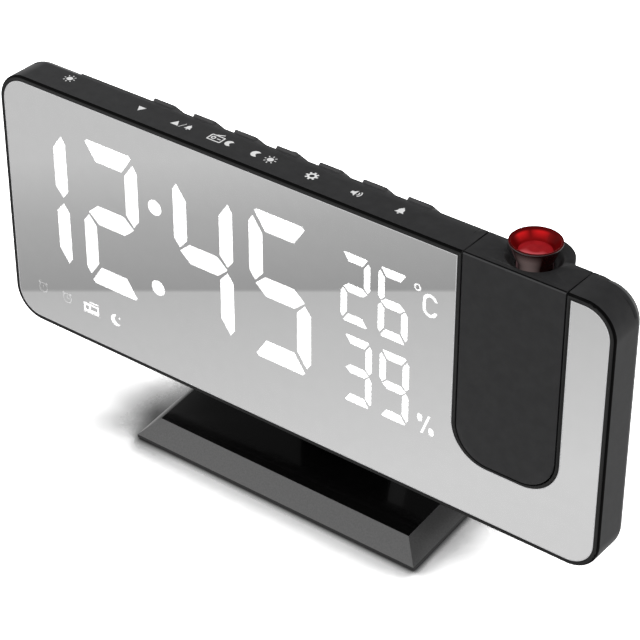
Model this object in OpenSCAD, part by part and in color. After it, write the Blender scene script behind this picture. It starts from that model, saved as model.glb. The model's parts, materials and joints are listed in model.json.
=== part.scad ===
// Projection alarm clock: a slim mirror display on a low stand, with a tilting projector.
// Row frame: origin on the table under the middle of the stand, X right, Y back, Z up.
// Clock frame: origin on the front plane at the middle of the screen, leaning back by lean.

/* [Clock body] */
// Width of the clock body
body_w = 190; // [184:0.5:220]
// Height of the clock body
body_h = 76.1; // [75:0.1:90]
// Radius of the four corners seen from the front
corner_r = 8.75; // [7.5:0.05:12]
// Depth of the slim outer frame
frame_d = 13; // [12.6:0.1:15]
// Depth of the thick compartment behind
bulge_d = 22; // [21.8:0.1:26]
// Depth at which the front shell meets the rear cover
seam_y = 8.5; // [8.3:0.1:9]
// Width of the rim round the screen
rim = 1.5; // [1.3:0.1:2]
// Rounding of the front edge
edge_r = 0.7; // [0.4:0.1:1.2]
// Rounding of the rear edge
rear_r = 3.5; // [3:0.1:4.4]
// Wall thickness of the front shell
bezel_wall = 2.6; // [2.3:0.1:3]
// Wall thickness of the rear cover
cover_wall = 2; // [1.6:0.1:2.2]
// Backward lean of the clock in degrees
lean = 6.8; // [4:0.1:10]
// Height of the lower front edge above the table
body_lift = 18.5; // [15:0.5:26]

/* [Rear compartment] */
// Distance from the left side of the clock to the compartment
bulge_left = 20; // [18:0.5:21]
// Clear distance from the compartment to the projector slot
bulge_right = 3.5; // [3:0.1:6]
// Depth at which the top face ends and the key slope starts
slope_y = 11.1; // [10.8:0.1:12]
// Angle of the key slope below the horizontal in degrees
slope_a = 46; // [44:0.5:48]
// Height of the compartment's flat back below the screen's middle
bulge_low = 22; // [21.5:0.1:23]
// Height of the bevel under the compartment
bulge_bevel = 7.5; // [6:0.1:8]

/* [Display] */
// Thickness of the mirrored screen
mirror_t = 1.2; // [1:0.1:1.5]
// Thickness of the black masking film behind the screen
film_t = 0.1; // [0.1:0.05:0.3]
// Thickness of the light diffusers
diffuser_t = 0.8; // [0.5:0.1:1]
// Depth of the reflector block behind the film
reflector_t = 4.6; // [4.2:0.1:4.8]
// Thickness of the circuit boards
board_t = 1.4; // [1:0.1:1.5]
// Height of the time digits
time_h = 44.4; // [40:0.1:46]
// Distance from the screen's left edge to the first digit
time_left = 3; // [2:0.1:4]
// Gap between the two digits of a pair
digit_gap = 5.2; // [4:0.1:6]
// Gap between the hours and the minutes
colon_gap = 11.9; // [11:0.1:13]
// How much narrower the first digit is than the others
tens_less = 2.7; // [0:0.1:4]
// Gap between the time and the small digits
column_gap = 9.15; // [8:0.05:11]
// Distance from the screen's top edge to the time digits
time_top = 10.4; // [9.5:0.1:11]
// Height of the level segments of the time digits
time_bar = 5.9; // [4:0.1:6.2]
// Width of the upright segments of the time digits
time_post = 4.5; // [3:0.1:5]
// Radius of the colon dots
colon_r = 2.3; // [1.5:0.1:2.5]
// Height of the small digits
small_h = 20.2; // [18:0.1:20.4]
// Width of the small digits
small_w = 9; // [8:0.1:9.4]
// Distance from one small digit to the next
small_pitch = 11.3; // [11:0.1:11.8]
// Height of the level segments of the small digits
small_bar = 2.6; // [1.8:0.1:2.8]
// Width of the upright segments of the small digits
small_post = 2; // [1.4:0.1:2.2]

/* [Projector] */
// Distance from the right side of the clock to the projector's middle
proj_side = 27.75; // [27.5:0.25:30]
// Width of the projector
proj_w = 28.1; // [26:0.1:28.2]
// Height of the projector
proj_h = 58; // [54:0.5:60]
// Radius of the projector's lower corners
proj_r = 9.5; // [8:0.1:10]
// Gap between the projector and its slot
proj_gap = 0.45; // [0.4:0.05:0.6]
// Visible rim between the slot's sides and the screen
collar = 1; // [0.8:0.1:1.2]
// Visible rim under the slot
collar_low = 0.5; // [0.4:0.1:0.8]
// Wall of the slot beside the projector
liner_t = 2.2; // [2:0.1:2.4]
// Height of the hinge line above the projector's lower end
hinge_up = 12.5; // [12.3:0.1:14]
// Radius of the hinge pins
pin_r = 2; // [1.5:0.1:2.4]
// Running clearance of the hinge pins
pin_play = 0.06; // [0.03:0.01:0.08]
// Rounding of the projector's long rear edges
proj_edge_r = 1.6; // [1.2:0.1:2]
// Thickness of the projector's front cover
face_t = 1.7; // [1.6:0.1:2]
// Wall thickness of the projector's shell
proj_wall = 1.8; // [1.4:0.1:2]
// Radius of the round barrel behind the projector
barrel_r = 9.4; // [9:0.1:10]
// Depth of the lens axis behind the front plane
lens_y = 8.9; // [8.8:0.1:9.2]
// Radius of the round recess about the lens
dish_r = 7.2; // [6.8:0.1:7.4]
// Depth of the round recess
dish_d = 2.2; // [1.5:0.1:2.5]

/* [Lens] */
// Radius of the focus cup's rim
cup_r = 6.43; // [6:0.01:6.6]
// Height of the cup's rim above the clock
cup_up = 4.1; // [3.5:0.1:6]
// Radius of the cup's stem
stem_r = 4.35; // [4:0.05:4.4]
// Running clearance between the turning and sliding lens tubes
tube_play = 0.08; // [0.05:0.01:0.1]
// Focus travel of the inner lens tube
focus_travel = 2; // [1:0.1:2.4]

/* [Keys] */
// Number of keys on the rear slope
key_count = 7; // [5:1:7]
// Width of a key
key_w = 7.4; // [6.5:0.1:8]
// Length of a key down the slope
key_l = 9; // [8:0.1:9.4]
// Distance from the compartment's left end to the first key's middle
key_start = 27.1; // [26:0.1:27.5]
// Distance from the last key's middle to the compartment's right end
key_end = 15.92; // [15:0.01:18]
// Height of a key above the slope
key_up = 1.05; // [0.8:0.05:1.3]
// Travel of a key
key_travel = 0.5; // [0.3:0.05:0.5]
// Gap all round a key
key_gap = 0.25; // [0.2:0.05:0.4]

/* [Stand] */
// Width of the stand at the table
stand_w = 92.4; // [80:0.2:110]
// Depth of the stand at the table
stand_d = 58; // [56:0.5:70]
// Height of the stand's flat top
stand_h = 5.9; // [5.5:0.1:7]
// Depth of the sloping front edge
front_bevel = 5.1; // [3:0.1:7]
// Width of the sloping side and rear edges
side_bevel = 4.9; // [3:0.1:6]
// Height of the upright lip round the bottom
stand_lip = 1; // [0.6:0.1:1.5]
// Reach of the stand in front of the screen's middle
stand_reach = 12.8; // [8:0.2:18]
// Width of the neck
neck_w = 33; // [28:0.5:34]
// Radius of the rubber feet
foot_r = 4; // [3:0.1:5]
// Height of the rubber feet below the stand
foot_up = 0.5; // [0.4:0.1:1]

/* [Hidden] */
$fn = 48;
tiny = 0.01;
seat = 0.1;                        // narrow gap between loosely seated pieces
proj_x = body_w / 2 - proj_side;   // projector's middle
top_z = body_h / 2;
body_z = body_lift + top_z * cos(lean);
body_y = stand_reach - stand_d / 2;
mirror_w = body_w - 2 * rim;
mirror_h = body_h - 2 * rim;
mirror_r = corner_r - rim;

// Depths of the display stack, from the front plane back
film_y = mirror_t;
reflector_y = film_y + film_t;
display_board_y = reflector_y + reflector_t;
display_back = display_board_y + board_t;

// Projector slot and module
slot_w = proj_w + 2 * proj_gap;
slot_low = top_z - proj_h - proj_gap;
slot_r = proj_r + proj_gap;
proj_low = top_z - proj_h;
hinge_y = frame_d / 2;
hinge_z = proj_low + hinge_up;
boss_r = pin_r + 3;
boss_l = 3.4;
pin_in = 4;
washer_t = proj_gap - 2 * tube_play;

// Light path, measured from the clock's top
floor_low = -dish_d - 1.5;         // underside of the recess floor
bearing_l = 9.5;
tube_r = stem_r + tube_play + 1.6;
bore_r = tube_r - 1.2;
shoulder_z = floor_low - 17;       // ledge between the lamp and the lenses
tube_low = floor_low - 26;
led_board_t = 1.2;
barrel_low = top_z + tube_low - led_board_t + 4.2;

// Rear compartment
bulge_x0 = -body_w / 2 + bulge_left;
bulge_x1 = proj_x - slot_w / 2 - liner_t - bulge_right + 1.25;
slope_run = bulge_d - slope_y;
slope_end = top_z - slope_run * tan(slope_a);
key_pitch = (bulge_x1 - bulge_x0 - key_start - key_end) / (key_count - 1);
back_in = bulge_d - cover_wall;    // inner face of the compartment's back

// Battery compartment, on the left of the flat back
cell_r = 5.25;
cell_l = 44.5;
door_t = 1.6;
door_w = 50;
pocket_w = 48.6;
pocket_wall = 1.1;
door_x = bulge_x0 + 4 + door_w / 2;
pocket_h = 4 * cell_r + 1.6;
pocket_low = -bulge_low + 1.8;
pocket_z = pocket_low + pocket_h / 2;
pocket_y = display_back + 0.6;     // front of the pocket's floor
cell_y = pocket_y + pocket_wall + cell_r + seat;
door_top = pocket_low + pocket_h + 1.4;
tongue = 0.8;
door_play = 0.2;

// Sockets and boards
main_board_y = 12.4;
main_board_z0 = door_top + 2.2;
main_board_z1 = main_board_z0 + 14.6;
socket_z = main_board_z0 + 6.4;
usb_x = bulge_x0 + 20;
usb_w = 13.2;
usb_h = 5.8;
usb_wall = 0.35;
inlet_x = usb_x + 18;
inlet_w = 8.2;
inlet_h = 3;
inlet_l = bulge_d - cover_wall / 2 - main_board_y - board_t;

// Speaker
speaker_r = 14;
speaker_x = bulge_x1 - speaker_r - 5;
speaker_z = -5;
speaker_flange = 1.2;

// Neck
neck_top = -3;
neck_low = -bulge_low + 1;
neck_t = 7;
neck_screw_x = neck_w / 2 - 6;
neck_screw_z = (neck_top + neck_low) / 2;
neck_base_x = neck_w / 2 - 6;
neck_flare = 6;
neck_arc = 55;

pin_fit = 0.02;                    // radial clearance of the pins in the projector

// Screws
screw_r = 1;
screw_play = 0.08;
head_r = 1.9;
head_t = 1.3;
post_r = 2.5;
post_in = post_r + 3.8;            // from the clock's sides to the middles of the corner posts
post_x = body_w / 2 - post_in;
post_z = top_z - post_in;
low_post_z = -top_z + post_r + 2.7;
low_post_in = 12;                  // from the compartment's left end to the first lower post
posts = [[-post_x, post_z], [-post_x, -post_z], [post_x, post_z], [post_x, -post_z],
    [bulge_x0 + low_post_in, low_post_z], [0, low_post_z],
    [proj_x - slot_w / 2 - post_in - 3, low_post_z]];
post_floor = 1.2;                  // from the front of the panel to the bottom of a screw hole
panel_t = 1.5;                     // panel of the front shell behind the screen's edges

// ---------- placing and shaping helpers ----------

// From the clock frame to the row frame
module in_clock() { translate([0, body_y, body_z]) rotate([-lean, 0, 0]) children(); }

// A point of the clock frame's side view, as [y, z] in the row frame
function side_point(y, z) = [body_y + y * cos(lean) + z * sin(lean),
    body_z - y * sin(lean) + z * cos(lean)];

// On the key slope: origin at its top edge, Y outwards, Z up the slope
module on_slope() { translate([0, slope_y, top_z]) rotate([90 - slope_a, 0, 0]) children(); }

// On the optical axis: origin level with the clock's top
module on_lens_axis() { translate([proj_x, lens_y, top_z]) children(); }

// A front-view shape, thick from depth y0 to y1
module slice(y0, y1) { translate([0, y1, 0]) rotate([90, 0, 0]) linear_extrude(y1 - y0) children(); }

// A side-view shape (Y, Z), long from x0 to x1
module across(x0, x1) { translate([x0, 0, 0]) rotate([90, 0, 90]) linear_extrude(x1 - x0) children(); }

// A cylinder along X
module rod_x(r, x0, x1, y, z) { translate([x0, y, z]) rotate([0, 90, 0]) cylinder(r = r, h = x1 - x0); }

// A cylinder along Y
module rod_y(r, y0, y1, x, z) { translate([x, y0, z]) rotate([-90, 0, 0]) cylinder(r = r, h = y1 - y0); }

// A box from its lowest corner to its highest
module block(a, b) { translate(a) cube(b - a); }

module round_rect(w, h, r) {
    square([w - 2 * r, h], center = true);
    square([w, h - 2 * r], center = true);
    for (x = [-1, 1], y = [-1, 1]) translate([x * (w / 2 - r), y * (h / 2 - r)]) circle(r);
}

// What a rounding of radius f takes off a square corner at the origin, on the side of sx and sy
module corner_waste(f, sx, sy) {
    if (f > 0) difference() {
        translate([sx > 0 ? -f : -tiny, sy > 0 ? -f : -tiny]) square(f + tiny);
        translate([-sx * f, -sy * f]) circle(f);
    }
}

// Half of an edge profile: from the middle out to half, from depth y0 to y1
module half_profile(half, y0, y1, f0, f1) {
    difference() {
        translate([0, y0]) square([half, y1 - y0]);
        translate([half, y0]) corner_waste(f0, 1, -1);
        translate([half, y1]) corner_waste(f1, 1, 1);
    }
}

module full_profile(half, y0, y1, f0, f1) {
    half_profile(half, y0, y1, f0, f1);
    mirror([1, 0]) half_profile(half, y0, y1, f0, f1);
}

// A rounded plate from depth y0 to y1, with its front edge rounded by f0 and its rear edge by f1
module slab(w, h, r, y0, y1, f0, f1) {
    translate([0, 0, r - h / 2]) linear_extrude(h - 2 * r) full_profile(w / 2, y0, y1, f0, f1);
    across(r - w / 2, w / 2 - r) rotate(90) mirror([0, 1]) full_profile(h / 2, y0, y1, f0, f1);
    for (x = [-1, 1], z = [-1, 1]) translate([x * (w / 2 - r), 0, z * (h / 2 - r)])
        rotate([-90, 0, 0]) rotate_extrude() half_profile(r, y0, y1, f0, f1);
}

// ---------- display art ----------

// One bar of a digit. s counts a to g as 0 to 6: top, right, lower right, bottom, and so on
module segment(s, w, h, bar, post) {
    gap = post * 0.18;
    mid = h / 2;
    tip = post * 0.42;
    if (s == 0 || s == 3) translate([0, s == 0 ? h : 0]) mirror([0, s == 0 ? 0 : 1])
        polygon([[tip, -gap], [tip + gap, 0], [w - tip - gap, 0], [w - tip, -gap],
            [w - post - gap, -bar], [post + gap, -bar]]);
    if (s == 6) polygon([[tip, mid], [post + gap, mid + bar / 2], [w - post - gap, mid + bar / 2],
        [w - tip, mid], [w - post - gap, mid - bar / 2], [post + gap, mid - bar / 2]]);
    if (s == 1 || s == 2 || s == 4 || s == 5)
        translate([w / 2, mid]) mirror([s == 4 || s == 5 ? 1 : 0, 0]) mirror([0, s == 2 || s == 4 ? 1 : 0])
            polygon([[w / 2 - tip, gap], [w / 2, gap + tip * 1.3], [w / 2, mid - bar * 0.75],
                [w / 2 - tip * 0.75, mid - bar * 0.4], [w / 2 - post, mid - bar - gap],
                [w / 2 - post, bar / 2 + gap]]);
}

// Which bars are lit for each numeral
BARS = [[0, 1, 2, 3, 4, 5], [1, 2], [0, 1, 6, 4, 3], [0, 1, 6, 2, 3], [5, 6, 1, 2], [0, 5, 6, 2, 3],
    [0, 5, 6, 4, 3, 2], [0, 1, 2], [0, 1, 2, 3, 4, 5, 6], [0, 1, 2, 3, 5, 6]];
function is_in(s, list) = len([for (v = list) if (v == s) v]) > 0;

module numeral(n, lit, w, h, bar, post) {
    for (s = [0:6]) if (is_in(s, BARS[n]) == lit) segment(s, w, h, bar, post);
}

// The small digits stand beside the slot's collar, and the time digits fill the rest of the row
small_in = 34.7;                   // from the left of the small digits to the slot's collar
small_x = proj_x - slot_w / 2 - collar - small_in;
time_x0 = -mirror_w / 2 + time_left;
time_w = (small_x - column_gap - time_x0 + tens_less - 2 * digit_gap - colon_gap) / 4;
tens_w = time_w - tens_less;
time_z0 = mirror_h / 2 - time_top - time_h;
hours_end = time_x0 + tens_w + digit_gap + time_w;
time_digits = [[1, time_x0, tens_w], [2, hours_end - time_w, time_w], [4, hours_end + colon_gap, time_w],
    [5, hours_end + colon_gap + time_w + digit_gap, time_w]];
colon_x = hours_end + colon_gap / 2 - 0.3;

module time_art(lit) {
    for (d = time_digits) translate([d[1], time_z0]) numeral(d[0], lit, d[2], time_h, time_bar, time_post);
    if (lit) for (f = [0.165, 0.72]) translate([colon_x, time_z0 + time_h * f]) circle(colon_r);
}

// Temperature above, humidity below, beside the projector slot
small_top = mirror_h / 2 - 12.3;
small_gap = 3.6;
small_rows = [[2, 6, small_x, small_top - small_h],
    [3, 9, small_x + 0.8, small_top - 2 * small_h - small_gap]];

module climate_art(lit) {
    for (row = small_rows, i = [0, 1]) translate([row[2] + i * small_pitch, row[3]])
        numeral(row[i], lit, small_w, small_h, small_bar, small_post);
}

module ring(r, stroke) { difference() { circle(r); circle(r - stroke); } }

// Small alarm clock with one hand, or with two
module alarm_sign(r, hands) {
    ring(r, r * 0.2);
    for (x = [-1, 1]) translate([x * r * 0.8, r * 0.9]) circle(r * 0.26);
    for (i = [0:hands - 1]) rotate(-90 * i) translate([-r * 0.1, -r * 0.1]) square([r * 0.2, r * 0.65]);
}

module radio_sign(w, h) {
    difference() {
        square([w, h], center = true);
        translate([w * 0.18, h * 0.08]) square([w * 0.4, h * 0.36], center = true);
        translate([-w * 0.27, 0]) circle(h * 0.2);
    }
    translate([w * 0.2, h * 0.68]) square([w * 0.6, h * 0.18], center = true);
}

// Crescent with a dot beside it
module moon_sign(r) {
    difference() {
        circle(r);
        translate([r * 0.62, r * 0.3]) circle(r * 0.8);
    }
    translate([r * 0.75, r * 0.55]) circle(r * 0.2);
}

// The letter of the Celsius degree: a tall ring, open on the right
module degree_letter(w, h, stroke) {
    difference() {
        tall_ring(w, h, stroke);
        translate([0, -h * 0.22]) square([w, h * 0.44]);
    }
}

module tall_ring(w, h, stroke) {
    difference() { stadium(w, h); stadium(w - 2 * stroke, h - 2 * stroke); }
}

module stadium(w, h) {
    square([w, h - w], center = true);
    for (y = [-1, 1]) translate([0, y * (h - w) / 2]) circle(w / 2);
}

module percent_sign(w, h, stroke) {
    for (s = [-1, 1]) translate([s * w * 0.34, -s * h * 0.26]) tall_ring(w * 0.3, h * 0.4, stroke);
    polygon([[-w * 0.22 - stroke / 2, -h / 2], [-w * 0.22 + stroke / 2, -h / 2],
        [w * 0.22 + stroke / 2, h / 2], [w * 0.22 - stroke / 2, h / 2]]);
}

// Four signs in the lower left corner, measured from the screen's left and lower edges
sign_in = 7.9;
sign_up = 8.9;
sign_pitch = 8.9;
sign_r = 1.6;
radio_size = [5.6, 3];
sign_x = -mirror_w / 2 + sign_in;
sign_z = -mirror_h / 2 + sign_up;

// Degree, letter and percent sign, beside the small digits
unit_x = small_x + 2 * small_pitch + 0.95;
degree_at = [unit_x - 0.65, small_top - 1.85];
letter_at = [unit_x + 3.1, small_top - 5.7];
percent_at = [unit_x + 2.75, small_rows[1][3] + small_h - 17.1];
degree_r = 1.05;
letter_size = [4.4, 6.6];
percent_size = [5.2, 6];
window_play = 0.35;                // room of a window round its sign

module symbol_art() {
    translate([sign_x, sign_z]) alarm_sign(sign_r, 1);
    translate([sign_x + sign_pitch, sign_z]) alarm_sign(sign_r, 2);
    translate([sign_x + 2 * sign_pitch, sign_z]) radio_sign(radio_size[0], radio_size[1]);
    translate([sign_x + 3 * sign_pitch, sign_z]) moon_sign(1.15 * sign_r);
    translate(degree_at) ring(degree_r, 0.5);
    translate(letter_at) degree_letter(letter_size[0], letter_size[1], 0.95);
    translate(percent_at) percent_sign(percent_size[0], percent_size[1], 0.75);
}

// Plain windows behind the signs, with room for a light of each, grown by grow
module symbol_windows(grow) {
    play = window_play + grow;
    for (i = [0, 1, 3]) translate([sign_x + i * sign_pitch, sign_z + 0.15 * sign_r])
        circle(1.2 * sign_r + play);
    translate([sign_x + 2 * sign_pitch, sign_z + 0.12 * radio_size[1]])
        square([radio_size[0] + 2 * play, 1.26 * radio_size[1] + 2 * play], center = true);
    translate(degree_at) circle(degree_r + play - 0.1);
    translate(letter_at) stadium(letter_size[0] + 2 * play, letter_size[1] + 2 * play);
    translate(percent_at)
        square([percent_size[0] + 2 * play, percent_size[1] + 2 * play], center = true);
}

// Middles of the signs' lights
sign_lights = concat([for (i = [0:3]) [sign_x + i * sign_pitch, sign_z]], [degree_at, letter_at, percent_at]);

module digit_art() {
    for (lit = [true, false]) {
        time_art(lit);
        climate_art(lit);
    }
}

// ---------- shared outlines ----------

// A slot with round lower corners, open past the top of the clock
module u_shape(w, low, r) {
    translate([proj_x - w / 2, low + r]) square([w, top_z + 5 - low - r]);
    translate([proj_x - w / 2 + r, low]) square([w - 2 * r, r + tiny]);
    for (s = [-1, 1]) translate([proj_x + s * (w / 2 - r), low + r]) circle(r);
}

module slot_shape(grow) { u_shape(slot_w + 2 * grow, slot_low - grow, slot_r + grow); }

module screen_shape() {
    difference() {
        round_rect(mirror_w, mirror_h, mirror_r);
        u_shape(slot_w + 2 * collar, slot_low - collar_low, slot_r + collar_low);
    }
}

// Side view of the rear compartment from depth y0 back, set in by t
module bulge_side(t, y0) {
    bevel_a = atan2(bulge_bevel, bulge_d - frame_d);
    top_y = slope_y - t * tan(slope_a / 2);
    low_z = -bulge_low - bulge_bevel + t / cos(bevel_a);
    polygon([[y0, top_z - t], [top_y, top_z - t],
        [bulge_d - t, top_z - t - (bulge_d - t - top_y) * tan(slope_a)],
        [bulge_d - t, low_z + (bulge_d - t - frame_d) * tan(bevel_a)],
        [frame_d, low_z], [y0, low_z]]);
}

// ---------- front shell and display ----------

module front_bezel() {
    color("#2c2c2c") in_clock() difference() {
        union() {
            difference() {
                slab(body_w, body_h, corner_r, 0, seam_y, edge_r, 0);
                slice(reflector_y, seam_y + 1)
                    round_rect(body_w - 2 * bezel_wall, body_h - 2 * bezel_wall, corner_r - bezel_wall);
            }
            slice(0, frame_d) intersection() {
                slot_shape(liner_t);
                square([body_w, body_h], center = true);
            }
            slice(reflector_y, reflector_y + panel_t) difference() {
                round_rect(body_w - 2, body_h - 2, corner_r - 1);
                display_outline(seat);
            }
            for (p = posts) rod_y(post_r, reflector_y, seam_y, p[0], p[1]);
            for (s = [-1, 1]) hinge_boss(s);
        }
        slice(-1, reflector_y) screen_shape();
        slice(-1, frame_d + 1) slot_shape(0);
        for (p = posts) rod_y(screw_r + screw_play, reflector_y + post_floor, seam_y + 1, p[0], p[1]);
        rod_x(pin_r + pin_play, proj_x - slot_w, proj_x + slot_w / 2 + liner_t + boss_l + 1,
            hinge_y, hinge_z);
        liner_top_waste();
    }
}

// The top of the slot's walls follows the clock's front rounding and rear slope
module liner_top_waste() {
    across(proj_x - slot_w, proj_x + slot_w) {
        translate([0, top_z]) corner_waste(edge_r, -1, 1);
        rear_slope_waste();
    }
}

module rear_slope_waste() {
    polygon([[slope_y, top_z + tiny], [frame_d + 2, top_z + tiny],
        [frame_d + 2, top_z - (frame_d + 2 - slope_y) * tan(slope_a)], [slope_y, top_z]]);
}

module hinge_boss(s) {
    x = proj_x + s * (slot_w / 2 + liner_t + boss_l / 2 - 0.5);
    rod_x(boss_r, x - boss_l / 2 - 0.5, x + boss_l / 2 + 0.5, hinge_y, hinge_z);
}

module mirror_screen() {
    color([0.75, 0.77, 0.8, 0.75]) in_clock() slice(0, mirror_t) screen_shape();
}

module mask_film() {
    color("#0a0a0a") in_clock() slice(film_y, film_y + film_t) difference() {
        screen_shape();
        digit_art();
        symbol_art();
    }
}

module diffuser() { in_clock() slice(reflector_y, reflector_y + diffuser_t) children(); }
module time_diffusers_lit() { color("white") diffuser() time_art(true); }
module time_diffusers_dark() { color("#303030") diffuser() time_art(false); }
module climate_diffusers_lit() { color("white") diffuser() climate_art(true); }
module climate_diffusers_dark() { color("#303030") diffuser() climate_art(false); }
module symbol_diffusers() { color("white") diffuser() symbol_windows(-seat); }

// Outline of the block and board behind the digits, between the screw posts
display_x0 = -body_w / 2 + bezel_wall + 1.6;
display_x1 = proj_x - slot_w / 2 - liner_t - 0.5;
hinge_room_w = boss_l + 1.6;       // room left of the slot's wall for the hinge boss and pin
display_z1 = post_z - 1.8;
display_z0 = low_post_z + post_r + 0.4;

module display_outline(grow) {
    difference() {
        translate([display_x0 - grow, display_z0 - grow])
            square([display_x1 - display_x0 + 2 * grow, display_z1 - display_z0 + 2 * grow]);
        for (z = [post_z, -post_z]) translate([-post_x, z]) circle(post_r + 0.3 - grow);
        translate([display_x1 - hinge_room_w + grow, hinge_z - boss_r - 0.4 + grow])
            square([hinge_room_w + 1, 2 * (boss_r + 0.4 - grow)]);
    }
}

module reflector_block() {
    color("#e8e8e8") in_clock() slice(reflector_y, display_board_y) difference() {
        display_outline(0);
        digit_art();
        symbol_windows(0);
    }
}

module display_board() {
    color("#1d5a36") in_clock() slice(display_board_y, display_back) display_outline(0);
}

led_size = 1.2;
led_t = 0.7;
module led_at(x, z) {
    block([x - led_size / 2, display_board_y - led_t, z - led_size / 2],
        [x + led_size / 2, display_board_y, z + led_size / 2]);
}

// Middle of each bar of a digit
function bar_middle(s, w, h, bar, post) =
    s == 0 ? [w / 2, h - bar / 2] : s == 3 ? [w / 2, bar / 2] : s == 6 ? [w / 2, h / 2]
    : [s == 1 || s == 2 ? w - post / 2 : post / 2, s == 1 || s == 5 ? h * 0.73 : h * 0.27];

module display_leds() {
    color("#f4e9b0") in_clock() {
        for (d = time_digits, s = [0:6], k = [-1, 1]) {
            m = bar_middle(s, d[2], time_h, time_bar, time_post);
            level = s == 0 || s == 3 || s == 6;
            led_at(d[1] + m[0] + (level ? k * 2.6 : 0), time_z0 + m[1] + (level ? 0 : k * 4));
        }
        for (row = small_rows, i = [0, 1], s = [0:6]) {
            m = bar_middle(s, small_w, small_h, small_bar, small_post);
            led_at(row[2] + i * small_pitch + m[0], row[3] + m[1]);
        }
        for (f = [0.165, 0.72]) led_at(colon_x, time_z0 + time_h * f);
        for (p = sign_lights) led_at(p[0], p[1]);
    }
}

// ---------- rear cover ----------

module rear_cover() {
    color("#2a2a2a") in_clock() difference() {
        union() {
            difference() { cover_outside(); cover_inside(); }
            cover_fittings();
        }
        slice(seam_y - 1, bulge_d + 1) slot_shape(liner_t + seat);
        for (s = [-1, 1]) hinge_room(s);
        for (i = [0:key_count - 1]) key_place(i) key_opening();
        for (p = posts) screw_way(p[0], p[1], seam_y - 1, frame_d - 0.4);
        battery_opening();
        socket_opening(usb_x, usb_w + 2 * seat, usb_h + 2 * seat);
        socket_opening(inlet_x, inlet_w + 2 * seat, inlet_h + 2 * seat);
        speaker_holes();
        for (s = [-1, 1])
            rod_y(screw_r + screw_play, back_in - 6, bulge_d + 1, s * neck_screw_x, neck_screw_z);
        air_slots();
    }
}

module cover_outside() {
    slab(body_w, body_h, corner_r, seam_y, frame_d, 0, rear_r);
    top_rail(0);
    across(bulge_x0, bulge_x1) bulge_side(0, seam_y);
}

// Square rear corner of the top face, cut by the slope; it fades into the rounding at its right end
rail_end = body_w / 2 - corner_r;
rail_fade = 9;                     // length of the fade

module top_rail(t) {
    difference() {
        across(bulge_x0 + t, rail_end) difference() {
            translate([seam_y, top_z - 6]) square([frame_d - seam_y, 6 - t]);
            rear_slope_waste();
        }
        rail_fade_waste();
    }
}

module rail_fade_waste() {
    translate([rail_end, frame_d - rear_r, top_z - rear_r]) rotate([-45, 0, 0])
        rotate([0, atan(rear_r * (sqrt(2) - 1) / rail_fade), 0])
            translate([-2 * rail_fade, -2 * rear_r, rear_r - 0.2])
                cube([3 * rail_fade, 4 * rear_r, 3 * rear_r]);
}

module cover_inside() {
    slice(seam_y - 1, frame_d - cover_wall)
        round_rect(body_w - 2 * bezel_wall, body_h - 2 * bezel_wall, corner_r - bezel_wall);
    across(bulge_x0 + cover_wall, bulge_x1 - cover_wall) intersection() {
        bulge_side(cover_wall, seam_y - 1);
        translate([0, -top_z]) square([bulge_d, 2 * top_z - bezel_wall]);
    }
}

module cover_fittings() {
    for (p = posts) rod_y(head_r + 1.1, seam_y, frame_d - cover_wall + tiny, p[0], p[1]);
    // battery pocket, closed at the front
    block([door_x - pocket_w / 2 - pocket_wall, pocket_y, pocket_low - pocket_wall],
        [door_x + pocket_w / 2 + pocket_wall, back_in + tiny, pocket_low + pocket_h + pocket_wall]);
    // standoffs of the main board
    for (x = board_screw_x) rod_y(2.2, main_board_y + board_t, back_in + tiny, x, board_screw_z);
    for (s = [-1, 1]) rod_y(3, back_in - 6, back_in + tiny, s * neck_screw_x, neck_screw_z);
    // ring that locates the speaker
    difference() {
        rod_y(speaker_r + 1.4, back_in - 2.4, back_in + tiny, speaker_x, speaker_z);
        rod_y(speaker_r + seat, back_in - 3, back_in + 1, speaker_x, speaker_z);
    }
}

board_screw_x = [bulge_x0 + 5.5, inlet_x + 24];
board_screw_z = main_board_z1 - 3.4;

module screw_way(x, z, y0, y1) {
    rod_y(screw_r + screw_play, y0, y1, x, z);
    rod_y(head_r + 0.25, y1 - head_t - 0.2, y1 + 3, x, z);
}

module hinge_room(s) {
    x = proj_x + s * (slot_w / 2 + liner_t + 3);
    rod_x(boss_r + seat, x - 3.2, x + 3.2, hinge_y, hinge_z);
}

module key_place(i) {
    on_slope() translate([bulge_x0 + key_start + i * key_pitch, 0, -0.5 - key_l / 2]) children();
}

// Opening for the key, with a deeper pocket for its flange
module key_opening() {
    slice(-cover_wall - 1.5, key_up + 1) round_rect(key_w + 2 * key_gap, key_l + 2 * key_gap, 1.2);
    slice(flange_y - flange_t - key_travel - seat, -cover_wall) flange_shape(seat);
}

module battery_opening() {
    block([door_x - pocket_w / 2, pocket_y + pocket_wall, pocket_low],
        [door_x + pocket_w / 2, bulge_d + 1, pocket_low + pocket_h]);
    // recess of the door, open at its lower end, with grooves for the side tongues
    block([door_x - door_w / 2 - door_play, bulge_d - door_t - seat, -bulge_low - 3],
        [door_x + door_w / 2 + door_play, bulge_d + 1, door_top + door_play]);
    block([door_x - door_w / 2 - tongue - door_play, bulge_d - door_t - seat, -bulge_low - 3],
        [door_x + door_w / 2 + tongue + door_play, bulge_d - door_t + 0.75 + seat, door_top + door_play]);
}

module socket_opening(x, w, h) {
    slice(back_in - 1, bulge_d + 1) translate([x, socket_z]) square([w, h], center = true);
}

hole_r = 0.9;
hole_pitch = 3.1;
module speaker_holes() {
    for (i = [-4:4], j = [-4:4]) {
        x = (i + (j % 2) / 2) * hole_pitch;
        z = j * hole_pitch * sqrt(3) / 2;
        if (norm([x, z]) < speaker_r - 3.2)
            rod_y(hole_r, back_in - 1, bulge_d + 1, speaker_x + x, speaker_z + z);
    }
}

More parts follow.
